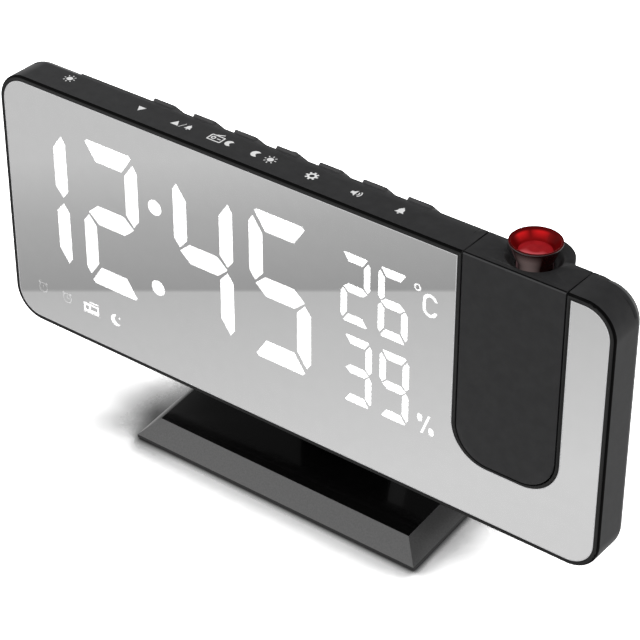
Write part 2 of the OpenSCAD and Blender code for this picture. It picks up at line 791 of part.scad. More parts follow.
// Air slots for the temperature sensor, low on the slim left part
module air_slots() {
    for (i = [0:4]) slice(frame_d - cover_wall - 1, frame_d + 1)
        translate([-body_w / 2 + 12.5, -14 + i * 3.2]) square([7, 1.3], center = true);
}

module screw(x, z, y0, y1) {
    rod_y(screw_r, y0, y1, x, z);
    difference() {
        rod_y(head_r, y1 - head_t, y1, x, z);
        for (a = [0, 90]) translate([x, y1, z]) rotate([0, a, 0])
            cube([head_r * 1.3, 1, 0.45], center = true);
    }
}

module cover_screws() {
    color("#8a8a8a") in_clock() for (p = posts)
        screw(p[0], p[1], reflector_y + post_floor + 0.4, frame_d - 0.5);
}

// ---------- keys and their board ----------

flange_t = 0.8;
flange_w = 0.7;
flange_y = -cover_wall - seat;     // outer face of the flange, below the slope
stem_low = flange_y - flange_t - 0.4;
plunger_top = stem_low - key_travel - 0.1;
switch_top = plunger_top - 0.5;
switch_t = 1.5;
key_board_y = switch_top - switch_t;

// The flange holds the key in at both sides and below; its upper edge stops short of the top wall
module flange_shape(grow) {
    w = key_w + 2 * (key_gap + flange_w + grow);
    low = -key_l / 2 - key_gap - flange_w - grow;
    translate([-w / 2, low]) square([w, key_l / 2 + grow - low]);
}

module key(i) {
    color("#262626") in_clock() key_place(i) {
        slab(key_w, key_l, 0.95, flange_y - flange_t + tiny, key_up, 0, 0.35);
        slice(flange_y - flange_t, flange_y) flange_shape(0);
        rod_y(1.5, stem_low, flange_y, 0, 0);
    }
}

module key_down() { key(0); }
module key_up() { key(1); }
module key_radio() { key(2); }

// The snooze and light key has a round nub to find it by touch
module key_snooze() {
    key(3);
    color("#262626") in_clock() key_place(3) translate([0, key_up - 0.1, 0.4]) rotate([-90, 0, 0])
        rotate_extrude() intersection() {
            square([1.5, 2]);
            translate([0, -1.1]) circle(2.0);
        }
}

module key_set() { key(4); }
module key_volume() { key(5); }
module key_alarm() { key(6); }

module key_board() {
    x0 = bulge_x0 + key_start - key_w;
    x1 = bulge_x1 - key_end + key_w;
    color("#1d5a36") in_clock() difference() {
        on_slope() block([x0, key_board_y - 1, -key_l - 0.8], [x1, key_board_y, -1]);
        for (x = [x0 + 2, x1 - 2]) on_slope()
            rod_y(screw_r + screw_play, key_board_y - 2, key_board_y + 1, x, -key_l / 2);
    }
}

module key_switches() {
    color("#b0b0b0") in_clock() for (i = [0:key_count - 1]) key_place(i) {
        slice(key_board_y, switch_top) square(5, center = true);
        rod_y(1.4, switch_top - tiny, plunger_top, 0, 0);
    }
}

// ---------- main board, sockets, speaker, battery ----------

module main_board() {
    color("#1d5a36") in_clock() difference() {
        block([bulge_x0 + cover_wall + 0.6, main_board_y, main_board_z0],
            [inlet_x + 30, main_board_y + board_t, main_board_z1]);
        for (x = board_screw_x)
            rod_y(screw_r + screw_play, main_board_y - 1, main_board_y + board_t + 1, x, board_screw_z);
    }
}

module main_chips() {
    color("#202020") in_clock() {
        for (c = [[inlet_x + 12, 9, 9], [inlet_x + 24, 6, 6]])
            block([c[0] - c[1] / 2, main_board_y - 1.4, main_board_z0 + 1.5],
                [c[0] + c[1] / 2, main_board_y, main_board_z0 + 1.5 + c[2]]);
        back = main_board_y + board_t;
        for (i = [0:2]) rod_y(2, back, back + 4.6, inlet_x + 9 + i * 5.2, main_board_z0 + 3);
    }
}

module usb_socket() {
    color("silver") in_clock() {
        difference() {
            slice(main_board_y + board_t, bulge_d - 0.2) translate([usb_x, socket_z])
                square([usb_w, usb_h], center = true);
            slice(main_board_y + board_t + 1, bulge_d + 1) translate([usb_x, socket_z])
                square([usb_w - 2 * usb_wall, usb_h - 2 * usb_wall], center = true);
        }
        slice(main_board_y + board_t + 1 - tiny, bulge_d - 1) translate([usb_x, socket_z - 0.8])
            square([usb_w - 2.1, 1.8], center = true);
    }
}

module power_inlet() {
    y0 = main_board_y + board_t;
    color("silver") in_clock() {
        difference() {
            slice(y0, y0 + inlet_l) translate([inlet_x, socket_z]) round_rect(inlet_w, inlet_h, 1.3);
            slice(y0 + 1, y0 + inlet_l + 1) translate([inlet_x, socket_z])
                round_rect(inlet_w - 0.6, inlet_h - 0.6, 1);
        }
        slice(y0 + 1 - tiny, y0 + inlet_l - 1) translate([inlet_x, socket_z])
            square([inlet_w - 2.4, 0.6], center = true);
    }
}

magnet_r = 7;
magnet_t = 3;
basket_d = 6;
cone_r = speaker_r - 1.9;

// Speaker piece: radius and depth measured from the inside of the compartment's back
module speaker_part(points) {
    in_clock() translate([speaker_x, back_in, speaker_z]) rotate([90, 0, 0]) rotate_extrude() polygon(points);
}

module speaker_frame() {
    color("#555555") speaker_part([[cone_r + seat, 0], [speaker_r, 0], [speaker_r, speaker_flange],
        [speaker_r - 1, speaker_flange], [magnet_r + 1.5, basket_d - 0.8], [magnet_r + 1.5, basket_d],
        [0, basket_d], [0, basket_d - 0.8], [magnet_r + 0.4, basket_d - 0.8], [cone_r - 0.7, 2],
        [cone_r - 0.7, speaker_flange], [cone_r + seat, speaker_flange]]);
}

module speaker_cone() {
    color("#1b1b1b") speaker_part([[0, 3], [3, 3.8], [cone_r - 1.7, 0.8], [cone_r, 0.8],
        [cone_r, speaker_flange - 0.05], [cone_r - 1.7, speaker_flange - 0.05], [3, 4.2], [0, 3.4]]);
}

module speaker_magnet() {
    color("#9a9a9a") speaker_part([[0, basket_d], [magnet_r, basket_d], [magnet_r, basket_d + magnet_t],
        [0, basket_d + magnet_t]]);
}

nub_l = 1;
module battery_cells() {
    color("#8c9096") in_clock() for (s = [-1, 1]) {
        z = pocket_z + s * (cell_r + 0.3);
        x0 = -cell_l / 2;
        translate([door_x, 0, 0]) mirror([s > 0 ? 0 : 1, 0, 0]) {
            rod_x(cell_r, x0, x0 + cell_l - nub_l, cell_y, z);
            rod_x(1.9, x0 + cell_l - nub_l - tiny, x0 + cell_l, cell_y, z);
        }
    }
}

// Plate contacts, with a raised pad at the button ends and a coil at the flat ends
contact_t = 0.4;
coil_wire = 0.32;
module battery_contacts() {
    color("silver") in_clock() for (s = [-1, 1], e = [-1, 1])
        translate([door_x + e * (pocket_w / 2 - 0.02), cell_y, pocket_z + s * (cell_r + 0.3)])
            rotate([0, -90 * e, 0]) {
                translate([-4, -4, 0]) cube([8, 8, contact_t]);
                if (s == e) cylinder(r = 2, h = contact_t + 1.1);
                else rotate_extrude() for (i = [0:2])
                    translate([2.7 - 0.38 * i, contact_t + 0.25 + 0.45 * i]) circle(coil_wire);
            }
}

module battery_door() {
    z0 = -bulge_low + 0.1;
    color("#2a2a2a") in_clock() {
        difference() {
            block([door_x - door_w / 2, bulge_d - door_t, z0], [door_x + door_w / 2, bulge_d, door_top]);
            for (i = [0:4]) rod_x(0.5, door_x - 8, door_x + 8, bulge_d + 0.1, door_top - 5 - i * 2);
        }
        for (s = [-1, 1]) {
            x = door_x + s * (door_w / 2 + tongue / 2 - tiny);
            block([x - tongue / 2 - tiny, bulge_d - door_t, z0 + 4],
                [x + tongue / 2, bulge_d - door_t + 0.75, door_top - 1]);
        }
    }
}

// ---------- stand ----------

stand_base_t = 2;
foot_x = stand_w / 2 - side_bevel - foot_r - 2;
foot_y = stand_d / 2 - front_bevel - foot_r - 2;
neck_foot_y0 = side_point(bulge_d, neck_low)[0] - 1;
neck_foot_y1 = neck_foot_y0 + 19;
base_screw_y = (neck_foot_y0 + neck_foot_y1) / 2;

// Both trapezia leave an upright lip at the bottom
module stand_block(inset) {
    lip_z = foot_up + stand_lip;
    intersection() {
        across(-stand_w / 2, stand_w / 2) polygon([
            [-stand_d / 2 + inset, foot_up], [stand_d / 2 - inset, foot_up],
            [stand_d / 2 - inset, lip_z], [stand_d / 2 - side_bevel - inset * 0.6, stand_h - inset],
            [-stand_d / 2 + front_bevel + inset * 0.6, stand_h - inset], [-stand_d / 2 + inset, lip_z]]);
        slice(-stand_d / 2, stand_d / 2) polygon([
            [-stand_w / 2 + inset, foot_up], [stand_w / 2 - inset, foot_up], [stand_w / 2 - inset, lip_z],
            [stand_w / 2 - side_bevel - inset * 0.6, stand_h - inset],
            [-stand_w / 2 + side_bevel + inset * 0.6, stand_h - inset], [-stand_w / 2 + inset, lip_z]]);
    }
}

module feet_places() { for (x = [-1, 1], y = [-1, 1]) translate([x * foot_x, y * foot_y, 0]) children(); }

module stand_base() {
    color("#0c0c0c") difference() {
        union() {
            difference() {
                stand_block(0);
                translate([0, 0, -tiny]) stand_block(stand_base_t);
            }
            intersection() {
                stand_block(0);
                union() {
                    feet_places() cylinder(r = foot_r + 1.2, h = stand_h);
                    for (x = [-1, 0, 1]) block([x * stand_w / 5 - 0.6, -stand_d / 2, foot_up + 0.6],
                        [x * stand_w / 5 + 0.6, stand_d / 2, stand_h]);
                    for (x = [-1, 1]) translate([x * neck_base_x, base_screw_y, foot_up])
                        cylinder(r = 3.4, h = stand_h);
                }
            }
        }
        feet_places() translate([0, 0, -1]) cylinder(r = foot_r + 0.05, h = 1 + 2 * foot_up);
        for (x = [-1, 1]) translate([x * neck_base_x, base_screw_y, -1]) {
            cylinder(r = screw_r + screw_play, h = stand_h + 2);
            cylinder(r = head_r + 0.25, h = 1 + foot_up + head_t + 0.3);
        }
    }
}

// Middle of an arc of radius r from point p up to point q, lying to the right of both
function arc_middle(p, q, r) = (p + q) / 2
    + [q[1] - p[1], p[0] - q[0]] / norm(q - p) * sqrt(r * r - pow(norm(q - p) / 2, 2));

// Side view of the neck, from the stand's top up to the flat back, waisted in front and behind
module neck_side() {
    p_low = side_point(bulge_d, neck_low);
    p_top = side_point(bulge_d, neck_top);
    p_back = side_point(bulge_d + neck_t, neck_top);
    difference() {
        polygon([p_low, p_top, p_back, [neck_foot_y1, stand_h + 2], [neck_foot_y1, stand_h],
            [neck_foot_y0, stand_h], [neck_foot_y0, stand_h + 2]]);
        translate(arc_middle([neck_foot_y1, stand_h + 2], p_back - [0, 7], neck_arc))
            circle(neck_arc, $fn = 120);
        translate(arc_middle([neck_foot_y0, p_low[1] - 1], [neck_foot_y0, stand_h + 2], neck_arc))
            circle(neck_arc, $fn = 120);
    }
}

// Front view of the neck, with round flares at its foot
module neck_front() {
    difference() {
        translate([-neck_w / 2 - neck_flare, stand_h]) square([neck_w + 2 * neck_flare, 60]);
        for (s = [-1, 1]) {
            translate([s * (neck_w / 2 + neck_flare), stand_h + 2 + neck_flare]) circle(neck_flare);
            translate([s * (neck_w / 2 + neck_flare), stand_h + 2 + neck_flare + 30])
                square([2 * neck_flare, 60], center = true);
        }
    }
}

module stand_neck() {
    color("#101010") difference() {
        intersection() {
            across(-neck_w, neck_w) neck_side();
            slice(neck_foot_y0 - 5, neck_foot_y1 + 5) neck_front();
        }
        in_clock() for (s = [-1, 1]) {
            rod_y(screw_r + screw_play, bulge_d - 1, bulge_d + 20, s * neck_screw_x, neck_screw_z);
            rod_y(head_r + 0.3, bulge_d + 2.2, bulge_d + 30, s * neck_screw_x, neck_screw_z);
        }
        for (x = [-1, 1]) translate([x * neck_base_x, base_screw_y, stand_h - 1])
            cylinder(r = screw_r + screw_play, h = 9);
    }
}

module stand_screws() {
    color("#8a8a8a") {
        in_clock() for (s = [-1, 1])
            screw(s * neck_screw_x, neck_screw_z, back_in - 4.5, bulge_d + 2.2 + head_t);
        for (x = [-1, 1]) translate([x * neck_base_x, base_screw_y, foot_up + 0.3]) {
            cylinder(r = screw_r, h = stand_h + 5);
            cylinder(r = head_r, h = head_t);
        }
    }
}

module rubber_feet() {
    color("#1a1a1a") feet_places() cylinder(r = foot_r, h = 2 * foot_up);
}

// ---------- projector ----------

// Outside of the projector, set in by t, without its barrel
module proj_outside(t) {
    r = proj_r - t;
    R = hinge_up - t;
    intersection() {
        union() {
            translate([proj_x, 0, hinge_z]) linear_extrude(top_z - t - hinge_z)
                full_profile(proj_w / 2 - t, -1, frame_d - t, 0, max(0, proj_edge_r - t));
            // flat lower end in front of the hinge line, and a round one turned about it behind
            slice(-1, hinge_y) u_shape(proj_w - 2 * t, proj_low + t, r);
            translate([proj_x, hinge_y, hinge_z]) rotate([0, 90, 0]) rotate_extrude() difference() {
                translate([0, -proj_w / 2 + t]) square([R, proj_w - 2 * t]);
                for (s = [-1, 1]) translate([R, s * (proj_w / 2 - t)]) corner_waste(r, 1, s);
            }
        }
        across(proj_x - proj_w, proj_x + proj_w) difference() {
            translate([0, proj_low - 1]) square([frame_d - t, proj_h + 1 - t]);
            translate([0, top_z]) corner_waste(edge_r, -1, 1);
            translate([t, 0]) translate([0, -t]) rear_slope_waste();
        }
    }
}

module barrel(t) {
    translate([proj_x, lens_y, barrel_low]) {
        cylinder(r = barrel_r - t, h = top_z - t - barrel_low);
        sphere(r = barrel_r - t);
    }
}

module projector_face() {
    color("#323232") in_clock() intersection() {
        proj_outside(0);
        slice(0, face_t) square([body_w, 2 * body_h], center = true);
    }
}

face_post_x = proj_w / 2 - proj_wall - 2.2;
face_post_z = hinge_z + 12;

module projector_shell() {
    color("#323232") in_clock() difference() {
        union() {
            intersection() {
                difference() {
                    union() { proj_outside(0); barrel(0); }
                    union() { proj_outside(proj_wall); barrel(proj_wall); }
                }
                slice(face_t, frame_d + 20) square([body_w, 2 * body_h], center = true);
            }
            for (s = [-1, 1]) {
                x = proj_x + s * (proj_w / 2 - pin_in / 2 - 0.2);
                rod_x(pin_r + 1.8, x - pin_in / 2, x + pin_in / 2, hinge_y, hinge_z);
                rod_y(2, face_t, frame_d - 0.2, proj_x + s * face_post_x, face_post_z);
            }
            // floor of the recess about the lens
            intersection() {
                on_lens_axis() translate([0, 0, floor_low]) cylinder(r = dish_r + 1.5, h = -floor_low - tiny);
                union() { proj_outside(0); barrel(0); }
                slice(face_t, frame_d + 20) square([body_w, 2 * body_h], center = true);
            }
        }
        on_lens_axis() translate([0, 0, -dish_d]) cylinder(r1 = dish_r - 1.8, r2 = dish_r, h = dish_d + tiny);
        on_lens_axis() translate([0, 0, -dish_d - 3]) cylinder(r = stem_r + 0.3, h = dish_d + 4);
        rod_x(pin_r + pin_fit, proj_x - proj_w, proj_x - proj_w / 2 + pin_in, hinge_y, hinge_z);
        rod_x(pin_r + pin_fit, proj_x + proj_w / 2 - pin_in, proj_x + proj_w, hinge_y, hinge_z);
        for (s = [-1, 1]) screw_way(proj_x + s * face_post_x, face_post_z, face_t - 1, frame_d - 0.1);
    }
}

module projector_screws() {
    color("#8a8a8a") in_clock() for (s = [-1, 1])
        screw(proj_x + s * face_post_x, face_post_z, face_t + 0.1, frame_d - 0.3);
}

// Hollow pins that turn in the slot's bosses, each held by a wide end
module hinge_pins() {
    color("silver") in_clock() for (s = [-1, 1]) {
        in_x = proj_x + s * (proj_w / 2 - pin_in);
        end_x = proj_x + s * (slot_w / 2 + liner_t + boss_l + seat);
        difference() {
            union() {
                rod_x(pin_r, min(in_x, end_x), max(in_x, end_x), hinge_y, hinge_z);
                rod_x(pin_r + 1, min(end_x, end_x + s * 0.8), max(end_x, end_x + s * 0.8), hinge_y, hinge_z);
            }
            rod_x(pin_r - 0.8, proj_x - body_w, proj_x + body_w, hinge_y, hinge_z);
        }
    }
}

module friction_washers() {
    color("#c0c0c0") in_clock() for (s = [-1, 1]) {
        x = proj_x + s * (proj_w / 2 + proj_gap / 2);
        difference() {
            rod_x(pin_r + 2.4, x - washer_t / 2, x + washer_t / 2, hinge_y, hinge_z);
            rod_x(pin_r + 0.1, x - 1, x + 1, hinge_y, hinge_z);
        }
    }
}

// ---------- optics, all on the lens axis and measured down from the clock's top ----------

module ring_part(points) { in_clock() on_lens_axis() rotate_extrude() polygon(points); }

module optical_tube() {
    color("#3a3a3a") ring_part([
        [stem_r + tube_play, floor_low], [tube_r + 0.9, floor_low], [tube_r + 0.9, floor_low - 1.2],
        [tube_r, floor_low - 1.2], [tube_r, tube_low], [bore_r, tube_low], [bore_r, shoulder_z - 0.8],
        [bore_r - 0.8, shoulder_z - 0.8], [bore_r - 0.8, shoulder_z], [bore_r, shoulder_z],
        [bore_r, floor_low - bearing_l - 1], [stem_r + tube_play, floor_low - bearing_l - 1]]);
}

module projector_led_board() {
    color("#1d5a36") in_clock() on_lens_axis() translate([0, 0, tube_low - led_board_t])
        cylinder(r = tube_r - 0.2, h = led_board_t);
}

module projector_led() {
    color("#ffd0d0") in_clock() on_lens_axis() translate([0, 0, tube_low]) {
        cylinder(r = 1.5, h = 1.5);
        translate([0, 0, 1.5]) sphere(r = 1.5);
    }
}

// Lens of radius r, flat below, with a straight edge and a domed top
module lens_shape(r, edge, dome) {
    R = (r * r + dome * dome) / (2 * dome);
    rotate_extrude() intersection() {
        square([r, edge + dome]);
        translate([0, edge + dome - R]) circle(R, $fn = 96);
    }
}

module condenser_lens() {
    color([0.9, 0.95, 1, 0.5]) in_clock() on_lens_axis() translate([0, 0, shoulder_z - 0.85])
        mirror([0, 0, 1]) lens_shape(bore_r - 0.05, 1.6, 1.2);
}

module lcd_slide() {
    side = (bore_r - 0.1) * sqrt(2);
    color([0.3, 0.35, 0.4, 0.8]) in_clock() on_lens_axis() translate([-side / 2, -side / 2, shoulder_z])
        cube([side, side, 1]);
}

cell_r_out = stem_r - 0.8;
cup_wall = 0.75;
lens_level = cup_up - 3.4;         // underside of the front lens
front_lens_r = 4.1;

// Flared cup that turns in the tube's bearing, with a stem and a seat for the front lens
module focus_cup() {
    color([0.5, 0.02, 0.03, 0.9]) ring_part([
        [cell_r_out + tube_play, floor_low - bearing_l], [stem_r, floor_low - bearing_l], [stem_r, -1.1],
        [stem_r + 0.55, 0], [cup_r - 0.35, cup_up - 1], [cup_r, cup_up - 0.45],
        [cup_r, cup_up - 0.1], [cup_r - 0.1, cup_up], [cup_r - 0.45, cup_up],
        [cup_r - cup_wall - 0.2, cup_up - 0.8], [front_lens_r + 0.05, lens_level + 0.9],
        [front_lens_r + 0.05, lens_level], [cell_r_out + tube_play, lens_level]]);
}

module front_lens() {
    color([0.8, 0.1, 0.1, 0.6]) in_clock() on_lens_axis() translate([0, 0, lens_level + seat])
        lens_shape(front_lens_r, 0.7, 0.8);
}

cell_low = floor_low - bearing_l + focus_travel / 2 + 0.3;
cell_l_out = 7;
module lens_cell() {
    color("#2a2a2a") ring_part([
        [cell_r_out - 1, cell_low], [cell_r_out, cell_low], [cell_r_out, cell_low + cell_l_out],
        [cell_r_out - 0.6, cell_low + cell_l_out], [cell_r_out - 0.6, cell_low + 2],
        [cell_r_out - 1, cell_low + 2]]);
}

module rear_lens() {
    color([0.9, 0.95, 1, 0.5]) in_clock() on_lens_axis() translate([0, 0, cell_low + 2.05])
        lens_shape(cell_r_out - 0.65, 1, 0.9);
}

front_bezel();
mirror_screen();
mask_film();
time_diffusers_lit();
time_diffusers_dark();
climate_diffusers_lit();
climate_diffusers_dark();
symbol_diffusers();
reflector_block();
display_board();
display_leds();
rear_cover();
cover_screws();
key_board();
key_switches();
key_down();
key_up();
key_radio();
key_snooze();
key_set();
key_volume();
key_alarm();
main_board();
main_chips();
usb_socket();
power_inlet();
speaker_frame();
speaker_cone();
speaker_magnet();
battery_cells();
battery_contacts();
battery_door();
stand_base();
stand_neck();
stand_screws();
rubber_feet();
projector_face();
projector_shell();
projector_screws();
hinge_pins();
friction_washers();
optical_tube();
projector_led_board();
projector_led();
condenser_lens();
lcd_slide();
focus_cup();
front_lens();
lens_cell();
rear_lens();
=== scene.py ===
import json
import math

import bmesh
import bpy
from mathutils import Matrix, Vector

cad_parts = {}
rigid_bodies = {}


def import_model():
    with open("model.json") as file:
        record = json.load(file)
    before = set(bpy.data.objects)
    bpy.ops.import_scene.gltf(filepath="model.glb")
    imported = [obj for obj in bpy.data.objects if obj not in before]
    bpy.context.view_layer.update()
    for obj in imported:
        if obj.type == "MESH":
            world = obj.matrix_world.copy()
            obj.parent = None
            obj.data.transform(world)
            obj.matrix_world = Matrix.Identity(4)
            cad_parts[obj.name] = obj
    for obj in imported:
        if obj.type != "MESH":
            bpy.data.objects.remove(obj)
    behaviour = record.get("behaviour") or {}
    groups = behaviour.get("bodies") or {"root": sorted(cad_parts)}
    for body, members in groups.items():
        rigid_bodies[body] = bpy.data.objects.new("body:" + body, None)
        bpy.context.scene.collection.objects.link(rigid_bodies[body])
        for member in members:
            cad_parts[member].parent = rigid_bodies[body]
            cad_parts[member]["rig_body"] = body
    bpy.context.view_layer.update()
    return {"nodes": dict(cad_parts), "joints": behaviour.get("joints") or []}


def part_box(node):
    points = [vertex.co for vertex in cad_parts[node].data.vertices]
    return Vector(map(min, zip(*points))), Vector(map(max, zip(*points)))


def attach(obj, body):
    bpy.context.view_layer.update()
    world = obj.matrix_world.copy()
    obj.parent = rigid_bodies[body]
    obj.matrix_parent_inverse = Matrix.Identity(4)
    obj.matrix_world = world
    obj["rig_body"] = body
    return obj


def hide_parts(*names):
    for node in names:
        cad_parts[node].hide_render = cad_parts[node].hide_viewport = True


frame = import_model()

bl_info = {
    "name": "Projection Alarm Clock",
    "version": (1, 0, 0),
    "blender": (4, 5, 0),
    "location": "View3D > Sidebar > Clock",
    "description": "Dresses a mirror-fronted alarm clock with a tilting projector",
    "category": "Object",
}

MM = 0.001
NODES = frame["nodes"]
JOINTS = {j["name"]: j for j in frame["joints"]}
LENS_AXIS = Vector(JOINTS["focus_turn"]["axis"]).normalized()
LENS_TOP = Vector(JOINTS["focus_turn"]["pos_m"])
LEAN = math.atan2(LENS_AXIS.y, LENS_AXIS.z)
BLACK = (0.0, 0.0, 0.0)

# two level directions, square to each other, along which shades and gleams are laid out
SIDEWAYS = Vector((0.757, 0.653, 0.0))
INWARD = Vector((-0.653, 0.757, 0.0))


def clock_frame():
    """The clock's own frame: its origin is the middle of the screen's face, Y goes back and Z up the face."""
    low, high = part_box("mirror_screen")
    dy, dz = high.y - low.y, high.z - low.z
    c, s = math.cos(LEAN), math.sin(LEAN)
    height = (dz * c - dy * s) / (c * c - s * s)
    y = low.y + height / 2 * s
    z = high.z - height / 2 * c
    return Matrix.Translation((0, y, z)) @ Matrix.Rotation(-LEAN, 4, "X")


CLOCK = clock_frame()
TO_CLOCK = CLOCK.inverted()
TOP = (TO_CLOCK @ LENS_TOP).z


# ---------- shaders ----------

def node(tree, kind, **settings):
    """A new node with its inputs or its own settings filled in by name."""
    made = tree.nodes.new(kind)
    for name, value in settings.items():
        if name in made.inputs:
            made.inputs[name].default_value = value
        else:
            setattr(made, name, value)
    return made


def new_material(name):
    """An empty material with one principled shader."""
    mat = bpy.data.materials.new(name)
    mat.use_nodes = True
    tree = mat.node_tree
    tree.nodes.clear()
    out = tree.nodes.new("ShaderNodeOutputMaterial")
    bsdf = tree.nodes.new("ShaderNodeBsdfPrincipled")
    tree.links.new(bsdf.outputs[0], out.inputs["Surface"])
    return mat, tree, bsdf


def place_of(tree, kind="Object"):
    """Where a point is; in the surroundings, with kind Generated, which way a ray goes."""
    return tree.nodes.new("ShaderNodeTexCoord").outputs[kind]


def noise(tree, scale, detail=3.0, rough=0.5):
    """A soft random value between 0 and 1."""
    field = node(tree, "ShaderNodeTexNoise", Scale=scale, Detail=detail, Roughness=rough)
    tree.links.new(place_of(tree), field.inputs["Vector"])
    return field.outputs["Fac"]


def maths(tree, operation, first, second=None, clamp=False):
    """A sum, product or other plain operation; each value is a socket or a number."""
    made = node(tree, "ShaderNodeMath", operation=operation, use_clamp=clamp)
    for socket, value in zip(made.inputs, (first, second)):
        if isinstance(value, bpy.types.NodeSocket):
            tree.links.new(value, socket)
        elif value is not None:
            socket.default_value = value
    return made.outputs[0]


def stretch(tree, source, low, high, to_low=0.0, to_high=1.0):
    """Maps a value from low..high to to_low..to_high, without going past them."""
    made = tree.nodes.new("ShaderNodeMapRange")
    for name, value in (("From Min", low), ("From Max", high), ("To Min", to_low), ("To Max", to_high)):
        made.inputs[name].default_value = value
    tree.links.new(source, made.inputs["Value"])
    return made.outputs[0]


def along(tree, source, direction):
    """How far a point or a direction reaches towards a fixed direction."""
    made = node(tree, "ShaderNodeVectorMath", operation="DOT_PRODUCT")
    made.inputs[1].default_value = direction
    tree.links.new(source, made.inputs[0])
    return made.outputs["Value"]


def clock_depth(tree):
    """Distance behind the screen's face, in metres."""
    back = CLOCK.to_3x3() @ Vector((0, 1, 0))
    return maths(tree, "SUBTRACT", along(tree, place_of(tree), back), back.dot(CLOCK.translation))


def around_lens(tree):
    """Distance from the lens axis, and the direction away from it."""
    link = tree.links.new
    offset = node(tree, "ShaderNodeVectorMath", operation="SUBTRACT")
    offset.inputs[1].default_value = LENS_TOP
    link(place_of(tree), offset.inputs[0])
    foot = node(tree, "ShaderNodeVectorMath", operation="SCALE")
    foot.inputs[0].default_value = LENS_AXIS
    link(along(tree, offset.outputs[0], LENS_AXIS), foot.inputs["Scale"])
    radial = node(tree, "ShaderNodeVectorMath", operation="SUBTRACT")
    link(offset.outputs[0], radial.inputs[0])
    link(foot.outputs[0], radial.inputs[1])
    length = node(tree, "ShaderNodeVectorMath", operation="LENGTH")
    link(radial.outputs[0], length.inputs[0])
    unit = node(tree, "ShaderNodeVectorMath", operation="NORMALIZE")
    link(radial.outputs[0], unit.inputs[0])
    return length.outputs["Value"], unit.outputs[0]


def mark(tree, name):
    """What a piece stores on its faces under a name, from 0 to 1."""
    return node(tree, "ShaderNodeAttribute", attribute_name=name).outputs["Fac"]


def blend_colours(tree, share, first, second, kind="MIX"):
    """A mix of two colours; each is a socket or three numbers."""
    mix = node(tree, "ShaderNodeMix", data_type="RGBA", blend_type=kind)
    tree.links.new(share, mix.inputs[0])
    for socket, colour in ((mix.inputs[6], first), (mix.inputs[7], second)):
        if isinstance(colour, bpy.types.NodeSocket):
            tree.links.new(colour, socket)
        else:
            socket.default_value = (*colour, 1.0)
    return mix.outputs[2]


def ramp(tree, source, stops):
    """A colour that follows a value; each stop is a place and a colour, or a place and a grey."""
    made = tree.nodes.new("ShaderNodeValToRGB")
    band = made.color_ramp
    while len(band.elements) < len(stops):
        band.elements.new(0.5)
    for element, (place, colour) in zip(band.elements, stops):
        element.position = place
        element.color = (colour, colour, colour, 1.0) if isinstance(colour, float) else (*colour, 1.0)
    tree.links.new(source, made.inputs["Fac"])
    return made.outputs[0]


def mottled(tree, scale, first, second):
    """A colour that varies softly between two over the surface."""
    return ramp(tree, noise(tree, scale), [(0.3, first), (0.7, second)])


def add_grain(tree, bsdf, scale, strength, depth):
    """A fine grain in the surface."""
    bump = node(tree, "ShaderNodeBump", Strength=strength, Distance=depth)
    tree.links.new(noise(tree, scale, 2.0, 0.6), bump.inputs["Height"])
    tree.links.new(bump.outputs[0], bsdf.inputs["Normal"])


def finish_material(name, colour, rough, spread=0.12, scale=300.0, grain=0.0, grain_scale=3000.0,
                    metallic=0.0, specular=0.5, coat=0.0, rough_spread=0.06):
    """A plain finish with slight variation of colour and gloss, and a fine grain in the surface."""
    mat, tree, bsdf = new_material(name)
    field = noise(tree, scale)
    low = tuple(c * (1 - spread) for c in colour)
    high = tuple(min(1.0, c * (1 + spread)) for c in colour)
    tree.links.new(ramp(tree, field, [(0.3, low), (0.7, high)]), bsdf.inputs["Base Color"])
    gloss = stretch(tree, field, 0.3, 0.7, max(0.0, rough - rough_spread), min(1.0, rough + rough_spread))
    tree.links.new(gloss, bsdf.inputs["Roughness"])
    bsdf.inputs["Metallic"].default_value = metallic
    bsdf.inputs["Specular IOR Level"].default_value = specular
    bsdf.inputs["Coat Weight"].default_value = coat
    bsdf.inputs["Coat Roughness"].default_value = 0.03
    if grain > 0:
        add_grain(tree, bsdf, grain_scale, grain, 0.05 * MM)
    return mat


def glow_material(name, colour, strength):
    """A surface that gives light of its own."""
    mat, tree, bsdf = new_material(name)
    tint = mottled(tree, 120.0, tuple(c * 0.97 for c in colour), colour)
    tree.links.new(tint, bsdf.inputs["Emission Color"])
    tree.links.new(tint, bsdf.inputs["Base Color"])
    bsdf.inputs["Emission Strength"].default_value = strength
    bsdf.inputs["Roughness"].default_value = 0.4
    return mat


def clear_material(name, colour, rough):
    """Clear or tinted acrylic that lets light through."""
    mat, tree, bsdf = new_material(name)
    tint = mottled(tree, 200.0, tuple(c * 0.94 for c in colour), colour)
    tree.links.new(tint, bsdf.inputs["Base Color"])
    bsdf.inputs["Roughness"].default_value = rough
    bsdf.inputs["IOR"].default_value = 1.49
    bsdf.inputs["Transmission Weight"].default_value = 1.0
    return mat


def paint(names, mat):
    """Gives nodes that keep their own shape a finish."""
    for name in names:
        mesh = NODES[name].data
        mesh.materials.clear()
        mesh.materials.append(mat)


# ---------- meshes ----------

def merged(cad):
    """A node's mesh with its loose triangles joined."""
    bm = bmesh.new()
    bm.from_mesh(NODES[cad].data)
    bmesh.ops.remove_doubles(bm, verts=bm.verts, dist=1e-7)
    return bm


def finished_mesh(bm, name):
    mesh = bpy.data.meshes.new(name)
    bm.to_mesh(mesh)
    bm.free()
    return mesh


def join_rings(bm, first, second):
    """Faces between two closed rings of as many vertices."""
    for i in range(len(first)):
        j = (i + 1) % len(first)
        bm.faces.new((first[i], first[j], second[j], second[i]))


